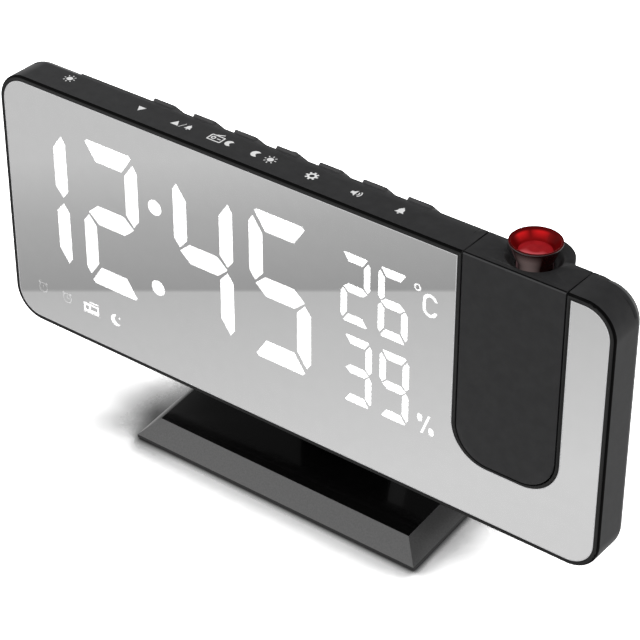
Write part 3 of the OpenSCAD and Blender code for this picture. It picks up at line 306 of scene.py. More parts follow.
def even_shading(piece):
    """Weighs the normals by the area of the faces, so that flats beside a rounding are shaded flat."""
    modifier = piece.modifiers.new("weights", "WEIGHTED_NORMAL")
    modifier.keep_sharp = True
    graph = bpy.context.evaluated_depsgraph_get()
    mesh = bpy.data.meshes.new_from_object(piece.evaluated_get(graph))
    piece.modifiers.remove(modifier)
    piece.data = mesh


def make_piece(name, mesh, mat, body, smooth_angle=None):
    """An object that rides on a body, in one finish; shaded smooth up to an angle, if one is given."""
    piece = bpy.data.objects.new(name, mesh)
    bpy.context.scene.collection.objects.link(piece)
    mesh.materials.clear()
    mesh.materials.append(mat)
    if smooth_angle is not None:
        mesh.shade_smooth()
        mesh.set_sharp_from_angle(angle=math.radians(smooth_angle))
        even_shading(piece)
    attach(piece, body)
    return piece


def mark_faces(piece, name, test):
    """Stores 1 on each face that passes a test and 0 on the rest, for a material to read."""
    marks = piece.data.attributes.new(name, "FLOAT", "FACE")
    for face in piece.data.polygons:
        marks.data[face.index].value = float(test(face))


FRONT_ROUNDING = 1.2 * MM      # how far back the front's rounding reaches
REAR_ROUNDING = (9 * MM, 13.2 * MM)      # where the frame rounds over to its back


def on_front_rounding(face, start=-0.97, end=-0.1):
    """Whether a face lies on the rounding between the clock's front and its sides, or on a band of it."""
    lean = (TO_CLOCK.to_3x3() @ face.normal).y
    return start < lean < end and (TO_CLOCK @ face.center).y < FRONT_ROUNDING


def on_rear_slope(face):
    """Whether a face leans back from the clock's top or sides, as the key slope and the rear rounding do."""
    normal = TO_CLOCK.to_3x3() @ face.normal
    return 0.15 < normal.y < 0.95 and normal.z > -0.3


def on_rear_rounding(face):
    """Whether a face lies on the rounding between the frame's top or sides and its back."""
    start, end = REAR_ROUNDING
    return on_rear_slope(face) and start < (TO_CLOCK @ face.center).y < end


def smooth_copy(cad, mat, angle=32.0):
    """A merged copy of a node's mesh with round surfaces shaded smooth, shown in the node's place."""
    bm = merged(cad)
    bmesh.ops.dissolve_degenerate(bm, edges=bm.edges, dist=1e-8)
    bmesh.ops.recalc_face_normals(bm, faces=bm.faces)
    mesh = finished_mesh(bm, cad + "_skin")
    piece = make_piece(cad + "_skin", mesh, mat, NODES[cad]["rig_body"], angle)
    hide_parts(cad)
    return piece


def islands(cad):
    """Corner boxes of a node's separate solids, in the clock's frame."""
    bm = merged(cad)
    seen, boxes = set(), []
    for start in bm.verts:
        if start in seen:
            continue
        todo, group = [start], []
        seen.add(start)
        while todo:
            vert = todo.pop()
            group.append(TO_CLOCK @ vert.co)
            for edge in vert.link_edges:
                other = edge.other_vert(vert)
                if other not in seen:
                    seen.add(other)
                    todo.append(other)
        boxes.append((Vector([min(p[i] for p in group) for i in range(3)]),
                      Vector([max(p[i] for p in group) for i in range(3)])))
    bm.free()
    return boxes


def front_outline(cad):
    """The outline of a node's front face, anticlockwise, as points of X and Z in the clock's frame."""
    bm = merged(cad)
    bmesh.ops.transform(bm, matrix=TO_CLOCK, verts=bm.verts)
    front = min(vert.co.y for vert in bm.verts) + 1e-6
    flat = {face for face in bm.faces if all(vert.co.y < front for vert in face.verts)}
    follows = {}
    for face in flat:
        for loop in face.loops:
            if not any(other in flat for other in loop.edge.link_faces if other is not face):
                follows[loop.vert.index] = (loop.link_loop_next.vert.index, loop.vert.co.xz.copy())
    start = at = min(follows)
    line = []
    while not line or at != start:
        at, point = follows[at]
        line.append(point)
    bm.free()
    if sum(a.x * b.y - b.x * a.y for a, b in zip(line, line[1:] + line[:1])) < 0:
        line.reverse()
    return line


# ---------- printed legends: flat outlines in mm, extruded to a film of ink ----------

def disc(x, y, r, count=28):
    return [(x + r * math.cos(2 * math.pi * i / count), y + r * math.sin(2 * math.pi * i / count))
            for i in range(count)]


def stroke(x0, y0, x1, y1, w):
    d = Vector((x1 - x0, y1 - y0)).normalized() * w / 2
    return [(x0 + d.y, y0 - d.x), (x1 + d.y, y1 - d.x), (x1 - d.y, y1 + d.x), (x0 - d.y, y0 + d.x)]


def arc_band(x, y, r, w, a0, a1, count=20):
    """Quads along an arc, as a list of outlines that share their edges."""
    angles = [math.radians(a0 + (a1 - a0) * k / count) for k in range(count + 1)]
    inner, outer = ([(x + edge * math.cos(a), y + edge * math.sin(a)) for a in angles]
                    for edge in (r - w / 2, r + w / 2))
    return [[inner[i], outer[i], outer[i + 1], inner[i + 1]] for i in range(count)]


def rays(r, w):
    """Eight short strokes round the middle."""
    shapes = []
    for i in range(8):
        a = math.pi / 4 * i
        c, s = math.cos(a), math.sin(a)
        shapes.append(stroke(c * r * 0.7, s * r * 0.7, c * r, s * r, w))
    return shapes


def sun_sign(r):
    return [disc(0, 0, r * 0.5)] + rays(r, r * 0.16)


def gear_sign(r):
    return arc_band(0, 0, r * 0.55, r * 0.34, 0, 360) + rays(r, r * 0.3)


def moon_sign(r):
    outer = [(r * math.cos(math.radians(a)), r * math.sin(math.radians(a))) for a in range(50, 311, 13)]
    top, low = outer[0], outer[-1]
    inner = [(low[0] * (1 - t) + top[0] * t - r * 0.62 * math.sin(math.pi * t),
              low[1] * (1 - t) + top[1] * t) for t in (0.1, 0.25, 0.4, 0.5, 0.6, 0.75, 0.9)]
    return [outer + inner]


def radio_sign(w):
    h = w * 0.62
    line = w * 0.09
    shapes = [stroke(-w / 2, y, w / 2, y, line) for y in (-h / 2, h / 2)]
    shapes += [stroke(x, -h / 2, x, h / 2, line) for x in (-w / 2, w / 2)]
    shapes += [stroke(-w * 0.3, h / 2, w * 0.3, h * 0.95, line), stroke(w * 0.08, 0, w * 0.36, 0, line)]
    return shapes + arc_band(-w * 0.2, 0, w * 0.13, line, 0, 360, 16)


def sound_sign(h):
    cone = [(-h * 0.5, -h * 0.17), (-h * 0.26, -h * 0.17), (0, -h * 0.45), (0, h * 0.45),
            (-h * 0.26, h * 0.17), (-h * 0.5, h * 0.17)]
    waves = arc_band(0, 0, h * 0.28, h * 0.1, -50, 50, 8) + arc_band(0, 0, h * 0.5, h * 0.1, -50, 50, 10)
    return [cone] + waves


def bell_sign(h):
    bell = [(-h * 0.45, -h * 0.3), (h * 0.45, -h * 0.3), (h * 0.3, -h * 0.1), (h * 0.27, h * 0.2),
            (h * 0.14, h * 0.38), (0, h * 0.43), (-h * 0.14, h * 0.38), (-h * 0.27, h * 0.2),
            (-h * 0.3, -h * 0.1)]
    return [bell, disc(0, -h * 0.42, h * 0.09, 14), disc(0, h * 0.47, h * 0.07, 12)]


def arrow_sign(h, up):
    k = 1 if up else -1
    return [[(-h * 0.55, -h * 0.45 * k), (h * 0.55, -h * 0.45 * k), (0, h * 0.5 * k)][::k]]


def moved(shapes, dx):
    return [[(x + dx, y) for x, y in shape] for shape in shapes]


INK_LOW, INK_HIGH = 0.005 * MM, 0.03 * MM      # bottom and top of the ink, above the clock's top face


def print_on_top(bm, shapes, x, y):
    """Each outline becomes a closed prism of ink on the clock's top face."""
    for shape in shapes:
        area = sum(a[0] * b[1] - b[0] * a[1] for a, b in zip(shape, shape[1:] + shape[:1]))
        loop = shape if area > 0 else shape[::-1]
        low, high = ([bm.verts.new(CLOCK @ Vector(((x + px) * MM, (y + py) * MM, TOP + rise)))
                      for px, py in loop] for rise in (INK_LOW, INK_HIGH))
        bm.faces.new(high)
        bm.faces.new(low[::-1])
        join_rings(bm, low, high)


# ---------- settings ----------

def colour_prop(name, what, value):
    return bpy.props.FloatVectorProperty(name=name, description=what, subtype="COLOR", size=3, min=0, max=1,
                                         default=value)


def share_prop(name, what, value):
    return bpy.props.FloatProperty(name=name, description=what, default=value, min=0, max=1, subtype="FACTOR")


def length_prop(name, what, value, low, high):
    return bpy.props.FloatProperty(name=name, description=what, default=value, min=low, max=high, precision=5,
                                   unit="LENGTH", subtype="DISTANCE")


class ClockFinishes(bpy.types.PropertyGroup):
    housing: colour_prop("Housing", "Colour of the matte housing", (0.033, 0.033, 0.034))
    # the rim's colour is also the base of the painted shade on the front rounding
    edge: colour_prop("Rim", "Colour of the rim round the screen", (0.017, 0.017, 0.017))
    stand: colour_prop("Stand", "Colour of the glossy stand", (0.003, 0.003, 0.003))
    cup: colour_prop("Focus cup", "Colour of the clear focus cup", (0.6, 0.01, 0.012))
    ink: colour_prop("Legends", "Colour of the printed legends", (0.85, 0.85, 0.85))
    mirror: colour_prop("Mirror", "Tint of the mirrored screen", (0.8, 0.8, 0.8))
    housing_rough: share_prop("Housing roughness", "Roughness of the matte housing", 0.42)
    mirror_cover: share_prop("Mirror strength", "Share of light the screen keeps back", 0.75)
    digit_glow: bpy.props.FloatProperty(name="Digit glow", description="Brightness of the lit digits",
                                        default=3.2, min=0, max=50)


class ClockStage(bpy.types.PropertyGroup):
    floor_size: length_prop("Floor size", "Width of the floor", 6.0, 0.5, 50)
    halo: length_prop("Contact shade", "Width of the soft shade where the stand rests", 0.0175, 0.001, 0.2)
    shade: length_prop("Wide shade", "Reach of the shade beside the stand", 0.055, 0.001, 0.5)
    sky: bpy.props.FloatProperty(name="Sky", description="Strength of the plain white surroundings",
                                 default=0.62, min=0, max=5)
    lamp_power: bpy.props.FloatProperty(name="Lamp", description="Power of the soft lamp",
                                        default=2.2, min=0, max=100, unit="POWER")
    lens: bpy.props.FloatProperty(name="Focal length", description="Focal length of the camera in mm",
                                  default=132.5, min=10, max=500, unit="CAMERA")


class ClockScrews(bpy.types.PropertyGroup):
    head_t: length_prop("Head height", "Height of a screw's head", 0.0013, 0.0003, 0.005)
    shank_r: length_prop("Shank radius", "Radius of a screw's shank", 0.001, 0.0003, 0.003)
    slot_w: length_prop("Slot width", "Width of the cross slot of a screw", 0.0005, 0.0001, 0.002)
    slot_d: length_prop("Slot depth", "Depth of the cross slot of a screw", 0.0006, 0.0001, 0.002)


# ---------- stage ----------

CAMERA_AT = (0.30687, -0.35819, 0.42770)
YAW, PITCH, ROLL = 0.71174, 0.68518, -0.09336
SENSOR_W = 36.0
FLOOR_DROP = 0.02 * MM      # keeps the floor clear of the feet
LAMP_AIM = Vector((0, 0, 0.04))
# name, place, size and share of the lamp power
LAMPS = (("lamp_above", (-0.25, 0.15, 0.9), 0.7, 1.0),
         ("lamp_front", (-0.5, -0.7, 0.6), 0.5, 0.35))
# the screen's greys by the slope of what it mirrors: darker down to a level line, light again below it
MIRRORED = ((-0.0637, 0.62), (-0.0085, 0.52), (0.0119, 0.475),
            (0.0127, 0.315), (0.0425, 0.40), (0.0679, 0.53))
MIRROR_SLOPE = 0.10      # slope at either end of their ramp
MIRROR_AHEAD = 0.9       # least cosine to straight ahead where they show


def camera_axes():
    look = Vector((-math.sin(YAW) * math.cos(PITCH), math.cos(YAW) * math.cos(PITCH), -math.sin(PITCH)))
    right = Vector((math.cos(YAW), math.sin(YAW), 0.0))
    up = right.cross(look)
    return (look, math.cos(ROLL) * right + math.sin(ROLL) * up, -math.sin(ROLL) * right + math.cos(ROLL) * up)


def mix_shaders(tree, share, first, second):
    """One shader that turns into another as a share goes from 0 to 1."""
    made = tree.nodes.new("ShaderNodeMixShader")
    for socket, source in zip(made.inputs, (share, first, second)):
        tree.links.new(source, socket)
    return made.outputs[0]


class CLOCK_OT_stage(bpy.types.Operator):
    """Sets the camera, the pale floor, the white surroundings and the soft lamps"""
    bl_idname = "clock.stage"
    bl_label = "Stage"

    def execute(self, context):
        scene = context.scene
        props = scene.clock_stage
        scene.view_settings.view_transform = "Standard"
        look, right, up = camera_axes()
        camera = bpy.data.objects.new("camera", bpy.data.cameras.new("camera"))
        camera.data.lens = props.lens
        camera.data.sensor_width = SENSOR_W
        camera.data.clip_end = 100.0
        camera.matrix_world = Matrix.Translation(CAMERA_AT) @ Matrix((right, up, -look)).transposed().to_4x4()
        scene.collection.objects.link(camera)
        scene.camera = camera
        self.floor(scene, props)
        self.world(scene, props)
        self.lamps(scene, props)
        return {"FINISHED"}

    def floor(self, scene, props):
        bm = bmesh.new()
        bmesh.ops.create_grid(bm, x_segments=1, y_segments=1, size=props.floor_size / 2)
        bmesh.ops.translate(bm, verts=bm.verts, vec=(0, 0, -FLOOR_DROP))
        mesh = finished_mesh(bm, "floor")
        mesh.materials.append(self.floor_material(props))
        floor = bpy.data.objects.new("floor", mesh)
        scene.collection.objects.link(floor)

    def floor_material(self, props):
        """Pale to the lamps, white with the object's shade to the camera, and clear to reflections."""
        mat = bpy.data.materials.new("pale_floor")
        mat.use_nodes = True
        tree = mat.node_tree
        tree.nodes.clear()
        out = tree.nodes.new("ShaderNodeOutputMaterial")
        near = node(tree, "ShaderNodeAmbientOcclusion", Distance=props.halo)
        white = ramp(tree, near.outputs["AO"], [(0.1, 0.04), (0.5, 0.24), (0.75, 0.6), (0.9, 1.0),
                                                (0.97, 1.5), (1.0, 3.0)])
        wide = node(tree, "ShaderNodeAmbientOcclusion", Distance=props.shade, samples=32)
        soft = ramp(tree, wide.outputs["AO"], [(0.3, 0.03), (0.6, 0.2), (0.9, 0.62)])
        shown = tree.nodes.new("ShaderNodeBsdfDiffuse")
        tree.links.new(self.shade_beside(tree, white, soft), shown.inputs["Color"])
        pale = node(tree, "ShaderNodeBsdfDiffuse", Color=(0.9, 0.9, 0.9, 1))
        clear = tree.nodes.new("ShaderNodeBsdfTransparent")
        path = tree.nodes.new("ShaderNodeLightPath").outputs
        lit = mix_shaders(tree, path["Is Camera Ray"], pale.outputs[0], shown.outputs[0])
        seen = mix_shaders(tree, path["Is Glossy Ray"], lit, clear.outputs[0])
        tree.links.new(seen, out.inputs["Surface"])
        return mat

    def shade_beside(self, tree, white, soft):
        """Darkens the floor to the left of the stand, where the clock keeps the light off."""
        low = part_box("stand_base")[0]
        corner = Vector((low.x, low.y, 0.0))
        # each fade goes from none to full between two distances from the stand's corner
        fades = ((SIDEWAYS, -0.055, -0.006), (SIDEWAYS, 0.02, 0.005),
                 (INWARD, -0.012, 0.006), (INWARD, 0.028, 0.010))
        share = None
        for direction, start, end in fades:
            at_corner = direction.dot(corner)
            reach = along(tree, place_of(tree), direction)
            fade = stretch(tree, reach, start + at_corner, end + at_corner)
            share = fade if share is None else maths(tree, "MULTIPLY", share, fade)
        return blend_colours(tree, share, white, soft, "MULTIPLY")

    def world(self, scene, props):
        """White all round; in reflections, grades of grey that change with the direction."""
        world = bpy.data.worlds.new("surroundings")
        scene.world = world
        world.use_nodes = True
        tree = world.node_tree
        tree.nodes.clear()
        out = tree.nodes.new("ShaderNodeOutputWorld")
        path = tree.nodes.new("ShaderNodeLightPath").outputs
        sky = node(tree, "ShaderNodeBackground", Color=(1, 1, 1, 1), Strength=props.sky).outputs[0]
        white = node(tree, "ShaderNodeBackground", Color=(1, 1, 1, 1), Strength=1.0).outputs[0]
        gloss = node(tree, "ShaderNodeBackground", Strength=1.0)
        tree.links.new(self.reflected(tree, scene.clock_finishes), gloss.inputs["Color"])
        for_glass = mix_shaders(tree, path["Is Transmission Ray"], sky, white)
        for_gloss = mix_shaders(tree, path["Is Glossy Ray"], for_glass, gloss.outputs[0])
        for_camera = mix_shaders(tree, path["Is Camera Ray"], for_gloss, white)
        tree.links.new(for_camera, out.inputs["Surface"])

    def reflected(self, tree, finishes):
        """What the screen mirrors, and elsewhere what the housing, the stand and the metal mirror."""
        look, _, up = camera_axes()
        face = (CLOCK.to_3x3() @ Vector((0, -1, 0))).normalized()
        ahead = along(tree, place_of(tree, "Generated"), look - 2 * look.dot(face) * face)
        rise = along(tree, place_of(tree, "Generated"), up - 2 * up.dot(face) * face)
        slope = stretch(tree, maths(tree, "DIVIDE", rise, ahead), -MIRROR_SLOPE, MIRROR_SLOPE)
        keep = finishes.mirror[0] * finishes.mirror_cover
        greys = ramp(tree, slope, [((at / MIRROR_SLOPE + 1) / 2, grey / keep) for at, grey in MIRRORED])
        # bright in front and level with the clock, dark overhead and behind
        slant = stretch(tree, along(tree, place_of(tree, "Generated"), Vector((0, 0.5, 0.5))), -0.7, 0.7)
        plain = ramp(tree, slant, [(0.0, 0.8), (0.80, 0.95), (0.90, 0.06), (1.0, 0.03)])
        # a softer grey where the upright side on the right looks
        aside = along(tree, place_of(tree, "Generated"), Vector((0.633, 0.586, 0.506)))
        plain = blend_colours(tree, stretch(tree, aside, 0.80, 0.97), plain, (0.6, 0.6, 0.6))
        return blend_colours(tree, maths(tree, "GREATER_THAN", ahead, MIRROR_AHEAD), plain, greys)

    def lamps(self, scene, props):
        for name, place, size, share in LAMPS:
            data = bpy.data.lights.new(name, "AREA")
            data.size = size
            data.energy = props.lamp_power * share
            lamp = bpy.data.objects.new(name, data)
            lamp.location = place
            lamp.visible_glossy = name != "lamp_above"
            lamp.rotation_mode = "QUATERNION"
            lamp.rotation_quaternion = (LAMP_AIM - Vector(place)).to_track_quat("-Z", "Y")
            scene.collection.objects.link(lamp)


# ---------- pieces ----------

def housing_material(name, props, projector=False):
    """Matte moulded plastic, with painted light and shade on its roundings. The clock's front rounding is
    painted dark and its rear rounding carries a painted light line; the projector's front rounding is a thin
    painted light line over a painted dark band.
    """
    mat, tree, bsdf = new_material(name)
    link = tree.links.new
    # painted shade: the projector's housing is made a little darker than the clock's
    colour = Vector(props.housing) * (0.92 if projector else 1.0)
    shade = mottled(tree, 350.0, colour * 0.9, colour * 1.1)
    if projector:
        # painted shade: a little darker close round the cup
        distance = around_lens(tree)[0]
        shade = blend_colours(tree, stretch(tree, distance, 5.5 * MM, 9.0 * MM, 0.8, 1.0), BLACK, shade)
        # painted highlight: a thin light line on the projector's front rounding
        rounding, gloss = colour * 1.5, 0.3
    else:
        front = stretch(tree, clock_depth(tree), 0.02 * MM, 0.1 * MM)
        shade = blend_colours(tree, front, props.edge, shade)
        # painted shade: the clock's front rounding is made much darker than its rim
        rounding, gloss = Vector(props.edge) * 0.08, 0.04
    sheen = stretch(tree, mark(tree, "slope"), 0.0, 1.0, 0.13, 0.5)
    # painted shade on the projector's band below its rounding, and a painted highlight line along the clock's
    # rear rounding
    for band, tint, level in (("shaded", colour * 0.15, 0.03), ("rear_highlight", colour * 2.4, 0.8),
                              ("rounding", rounding, gloss)):
        shade = blend_colours(tree, mark(tree, band), shade, tint)
        sheen = blend_colours(tree, mark(tree, band), sheen, (level,) * 3)
    link(shade, bsdf.inputs["Base Color"])
    bsdf.inputs["Specular IOR Level"].default_value = 0.13
    link(sheen, bsdf.inputs["Specular IOR Level"])
    bsdf.inputs["Roughness"].default_value = props.housing_rough
    add_grain(tree, bsdf, 2600.0, 0.35, 0.04 * MM)
    return mat


class CLOCK_OT_housing(bpy.types.Operator):
    """Finishes the front shell, the rear cover, the battery door and the projector's housing"""
    bl_idname = "clock.housing"
    bl_label = "Housing"

    def execute(self, context):
        props = context.scene.clock_finishes
        mat = housing_material("moulded_housing", props)
        for cad in ("front_bezel", "rear_cover", "battery_door"):
            piece = smooth_copy(cad, mat)
            # marks where the material paints: a painted shade on the front rounding and a painted highlight
            # line on the rear rounding
            mark_faces(piece, "rounding", on_front_rounding)
            mark_faces(piece, "slope", on_rear_slope)
            mark_faces(piece, "rear_highlight", on_rear_rounding)
        mat = housing_material("moulded_projector", props, projector=True)
        for cad in ("projector_face", "projector_shell"):
            piece = smooth_copy(cad, mat)
            # marks where the material paints: a painted highlight line on the front rounding and a painted
            # shade on the band below it
            mark_faces(piece, "rounding", lambda face: on_front_rounding(face, end=-0.6))
            mark_faces(piece, "shaded", lambda face: on_front_rounding(face, start=-0.6))
            mark_faces(piece, "slope", on_rear_slope)
        return {"FINISHED"}


class CLOCK_OT_keys(bpy.types.Operator):
    """Finishes the seven keys of the rear slope"""
    bl_idname = "clock.keys"
    bl_label = "Keys"

    def execute(self, context):
        props = context.scene.clock_finishes
        # the keys are painted a third lighter than the housing, a painted highlight for the light their tops
        # catch
        mat = finish_material("moulded_keys", tuple(c * 1.3 for c in props.housing), 0.42, grain=0.3)
        behind = ("key_board", "key_switches")
        for cad in sorted(n for n in NODES if n.startswith("key_") and n not in behind):
            smooth_copy(cad, mat)
        return {"FINISHED"}


class CLOCK_OT_legends(bpy.types.Operator):
    """Prints the legends along the clock's top"""
    bl_idname = "clock.legends"
    bl_label = "Legends"

    def execute(self, context):
        props = context.scene.clock_finishes
        mat = finish_material("legend_ink", tuple(props.ink), 0.6, spread=0.05, grain=0.1)
        bm = bmesh.new()
        bar = stroke(-0.5, -1.1, 0.5, 1.1, 0.2)
        alarm = arrow_sign(2.2, True) + moved([bar], 2.1) + moved(bell_sign(2.3), 4.1)
        radio = radio_sign(4.0) + moved(moon_sign(1.25), 4.3)
        night = moon_sign(1.35) + moved(sun_sign(1.75), 4.6)
        # each sign with its place from the clock's middle, in mm, and all but the first 6 mm behind the front
        print_on_top(bm, sun_sign(1.75), -75.8, 7.0)
        for shapes, x in ((arrow_sign(2.2, False), -50.6), (alarm, -38.6), (radio, -25.6), (night, -12.9),
                          (gear_sign(1.75), 4.6), (sound_sign(2.9), 18.0), (bell_sign(2.9), 31.2)):
            print_on_top(bm, shapes, x, 6.0)
        make_piece("top_legends", finished_mesh(bm, "top_legends"), mat, "clock")
        return {"FINISHED"}


class CLOCK_OT_display(bpy.types.Operator):
    """Finishes the mirrored screen, the mask and the lit and unlit digits behind it"""
    bl_idname = "clock.display"
    bl_label = "Display"

    def execute(self, context):
        props = context.scene.clock_finishes
        mirror = finish_material("mirror_film", tuple(props.mirror), 0.008, spread=0.01, metallic=1.0,
                                 rough_spread=0.002)
        tree = mirror.node_tree
        film = stretch(tree, clock_depth(tree), 0.1 * MM, 0.3 * MM, props.mirror_cover, 0.0)
        tree.links.new(film, tree.nodes["Principled BSDF"].inputs["Alpha"])
        paint(["mirror_screen"], mirror)
        black = finish_material("black_film", (0.0005,) * 3, 0.6, specular=0.0)
        paint(["mask_film", "time_diffusers_dark", "climate_diffusers_dark"], black)
        lit = glow_material("lit_diffuser", (1.0, 1.0, 1.0), props.digit_glow)
        paint(["time_diffusers_lit", "climate_diffusers_lit"], lit)
        paint(["symbol_diffusers"], self.sign_material(props))
        paint(["reflector_block"], self.reflector_material())
        paint(["display_leds"], finish_material("led_resin", (0.8, 0.75, 0.45), 0.3))
        self.screen_edge()
        return {"FINISHED"}

    def sign_material(self, props):
        """Lit diffusers; the first two signs, the alarms, are dimmer."""
        boxes = sorted(islands("symbol_diffusers"), key=lambda pair: pair[0].x)
        limit = (boxes[1][1].x + boxes[2][0].x) / 2
        mat, tree, bsdf = new_material("lit_sign")
        across = along(tree, place_of(tree), (1, 0, 0))
        share = stretch(tree, across, limit - 0.1 * MM, limit + 0.1 * MM)
        glow = blend_colours(tree, share, (0.19,) * 3, (0.86,) * 3)
        tree.links.new(glow, bsdf.inputs["Emission Color"])
        bsdf.inputs["Base Color"].default_value = (0.8, 0.8, 0.8, 1.0)
        bsdf.inputs["Emission Strength"].default_value = props.digit_glow
        return mat

    def reflector_material(self):
        """White inside its light wells, printed black on its front face."""
        front = min(corners[0].y for corners in islands("reflector_block"))
        mat, tree, bsdf = new_material("white_reflector")
        share = stretch(tree, clock_depth(tree), front + 0.3 * MM, front + 0.4 * MM)
        shade = blend_colours(tree, share, (0.0005,) * 3, mottled(tree, 300.0, 0.68, 0.78))
        tree.links.new(shade, bsdf.inputs["Base Color"])
        bsdf.inputs["Specular IOR Level"].default_value = 0.0
        return mat

    def screen_edge(self):
        """The cut edge of the screen: a thin bright line round its face."""
        wide, thick = 0.22 * MM, 0.02 * MM
        loop = front_outline("mirror_screen")
        inset = []
        for before, at, after in zip(loop[-1:] + loop[:-1], loop, loop[1:] + loop[:1]):
            one, two = (at - before).normalized(), (after - at).normalized()
            inward = Vector((-one.y - two.y, one.x + two.x)).normalized()
            inset.append(at + inward * wide / max(0.5, inward.dot(Vector((-one.y, one.x)))))
        bm = bmesh.new()
        rings = [[bm.verts.new(CLOCK @ Vector((x, depth, z))) for x, z in line]
                 for line, depth in ((loop, 0.0), (loop, -thick), (inset, -thick), (inset, 0.0))]
        for first, second in zip(rings, rings[1:] + rings[:1]):
            join_rings(bm, first, second)
        bmesh.ops.recalc_face_normals(bm, faces=bm.faces)
        bright = finish_material("cut_acrylic", (0.75, 0.75, 0.76), 0.3, spread=0.05, scale=200.0)
        make_piece("screen_edge", finished_mesh(bm, "screen_edge"), bright, "clock")


class CLOCK_OT_electronics(bpy.types.Operator):
    """Finishes the boards, chips, sockets, speaker and cells"""
    bl_idname = "clock.electronics"
    bl_label = "Electronics"

    def execute(self, context):
        laminate = finish_material("green_laminate", (0.015, 0.1, 0.04), 0.35, spread=0.2, coat=0.3)
        paint(["display_board", "key_board", "main_board", "projector_led_board"], laminate)
        paint(["main_chips"], finish_material("black_epoxy", (0.012,) * 3, 0.6, grain=0.2))
        paint(["key_switches"], finish_material("grey_resin", (0.2,) * 3, 0.4))
        metal = finish_material("plated_sheet", (0.62, 0.62, 0.63), 0.25, metallic=1.0, spread=0.08,
                                scale=900.0)
        paint(["usb_socket", "power_inlet", "battery_contacts"], metal)
        paint(["speaker_frame"], finish_material("black_lacquer", (0.02,) * 3, 0.4))
        paper = finish_material("pressed_paper", (0.02, 0.02, 0.022), 0.85, grain=0.6, grain_scale=1500.0)
        paint(["speaker_cone"], paper)
        paint(["speaker_magnet"], finish_material("zinc_plate", (0.4, 0.4, 0.42), 0.35, metallic=1.0))
        wrap = finish_material("cell_wrap", (0.25, 0.26, 0.28), 0.3, spread=0.05, coat=0.4)
        paint(["battery_cells"], wrap)
        return {"FINISHED"}


SCREW_SIZES = ("Head Radius", "Head Height", "Shank Radius", "Shank Length", "Slot Width", "Slot Depth")
SLOT_REACH = 1.25      # length of a slot, in head radii


def screw_tree(mat):
    """Cross-slotted screws on the points of a mesh, heads towards +Y."""
    tree = bpy.data.node_groups.new("Cross Screws", "GeometryNodeTree")
    tree.interface.new_socket("Geometry", in_out="INPUT", socket_type="NodeSocketGeometry")
    for name in SCREW_SIZES:
        tree.interface.new_socket(name, in_out="INPUT", socket_type="NodeSocketFloat")
    tree.interface.new_socket("Geometry", in_out="OUTPUT", socket_type="NodeSocketGeometry")
    link = tree.links.new
    given = tree.nodes.new("NodeGroupInput").outputs

    def vector(**parts):
        made = tree.nodes.new("ShaderNodeCombineXYZ")
        for axis, socket in parts.items():
            link(socket, made.inputs[axis])
        return made.outputs[0]

    def step(kind, source, socket, **settings):
        """A node with one of its inputs linked."""
        made = node(tree, kind, **settings)
        link(source, made.inputs[socket])
        return made

    def hanging_rod(radius, depth, count):
        """A cylinder whose top face is level with the point."""
        rod = node(tree, "GeometryNodeMeshCylinder", Vertices=count)
        link(given[radius], rod.inputs["Radius"])
        link(given[depth], rod.inputs["Depth"])
        lowered = step("GeometryNodeTransform", rod.outputs["Mesh"], "Geometry")
        link(vector(Z=maths(tree, "MULTIPLY", given[depth], -0.5)), lowered.inputs["Translation"])
        return lowered.outputs[0]

    cut = node(tree, "GeometryNodeMeshBoolean", operation="DIFFERENCE", solver="EXACT")
    size = vector(X=maths(tree, "MULTIPLY", given["Head Radius"], SLOT_REACH), Y=given["Slot Width"],
                  Z=maths(tree, "MULTIPLY", given["Slot Depth"], 2.0))
    slot = step("GeometryNodeMeshCube", size, "Size")
    for turn in (0.0, math.pi / 2):
        turned = step("GeometryNodeTransform", slot.outputs["Mesh"], "Geometry", Rotation=(0, 0, turn))
        link(turned.outputs[0], cut.inputs["Mesh 2"])
    link(hanging_rod("Head Radius", "Head Height", 40), cut.inputs["Mesh 1"])
    parts = step("GeometryNodeJoinGeometry", cut.outputs["Mesh"], "Geometry")
    link(hanging_rod("Shank Radius", "Shank Length", 24), parts.inputs[0])
    turned = step("GeometryNodeTransform", parts.outputs[0], "Geometry", Rotation=(-math.pi / 2, 0, 0))
    placed = step("GeometryNodeInstanceOnPoints", given["Geometry"], "Points")
    link(turned.outputs[0], placed.inputs["Instance"])
    real = step("GeometryNodeRealizeInstances", placed.outputs[0], "Geometry")
    finished = step("GeometryNodeSetMaterial", real.outputs[0], "Geometry", Material=mat)
    link(finished.outputs[0], tree.nodes.new("NodeGroupOutput").inputs[0])
    return tree


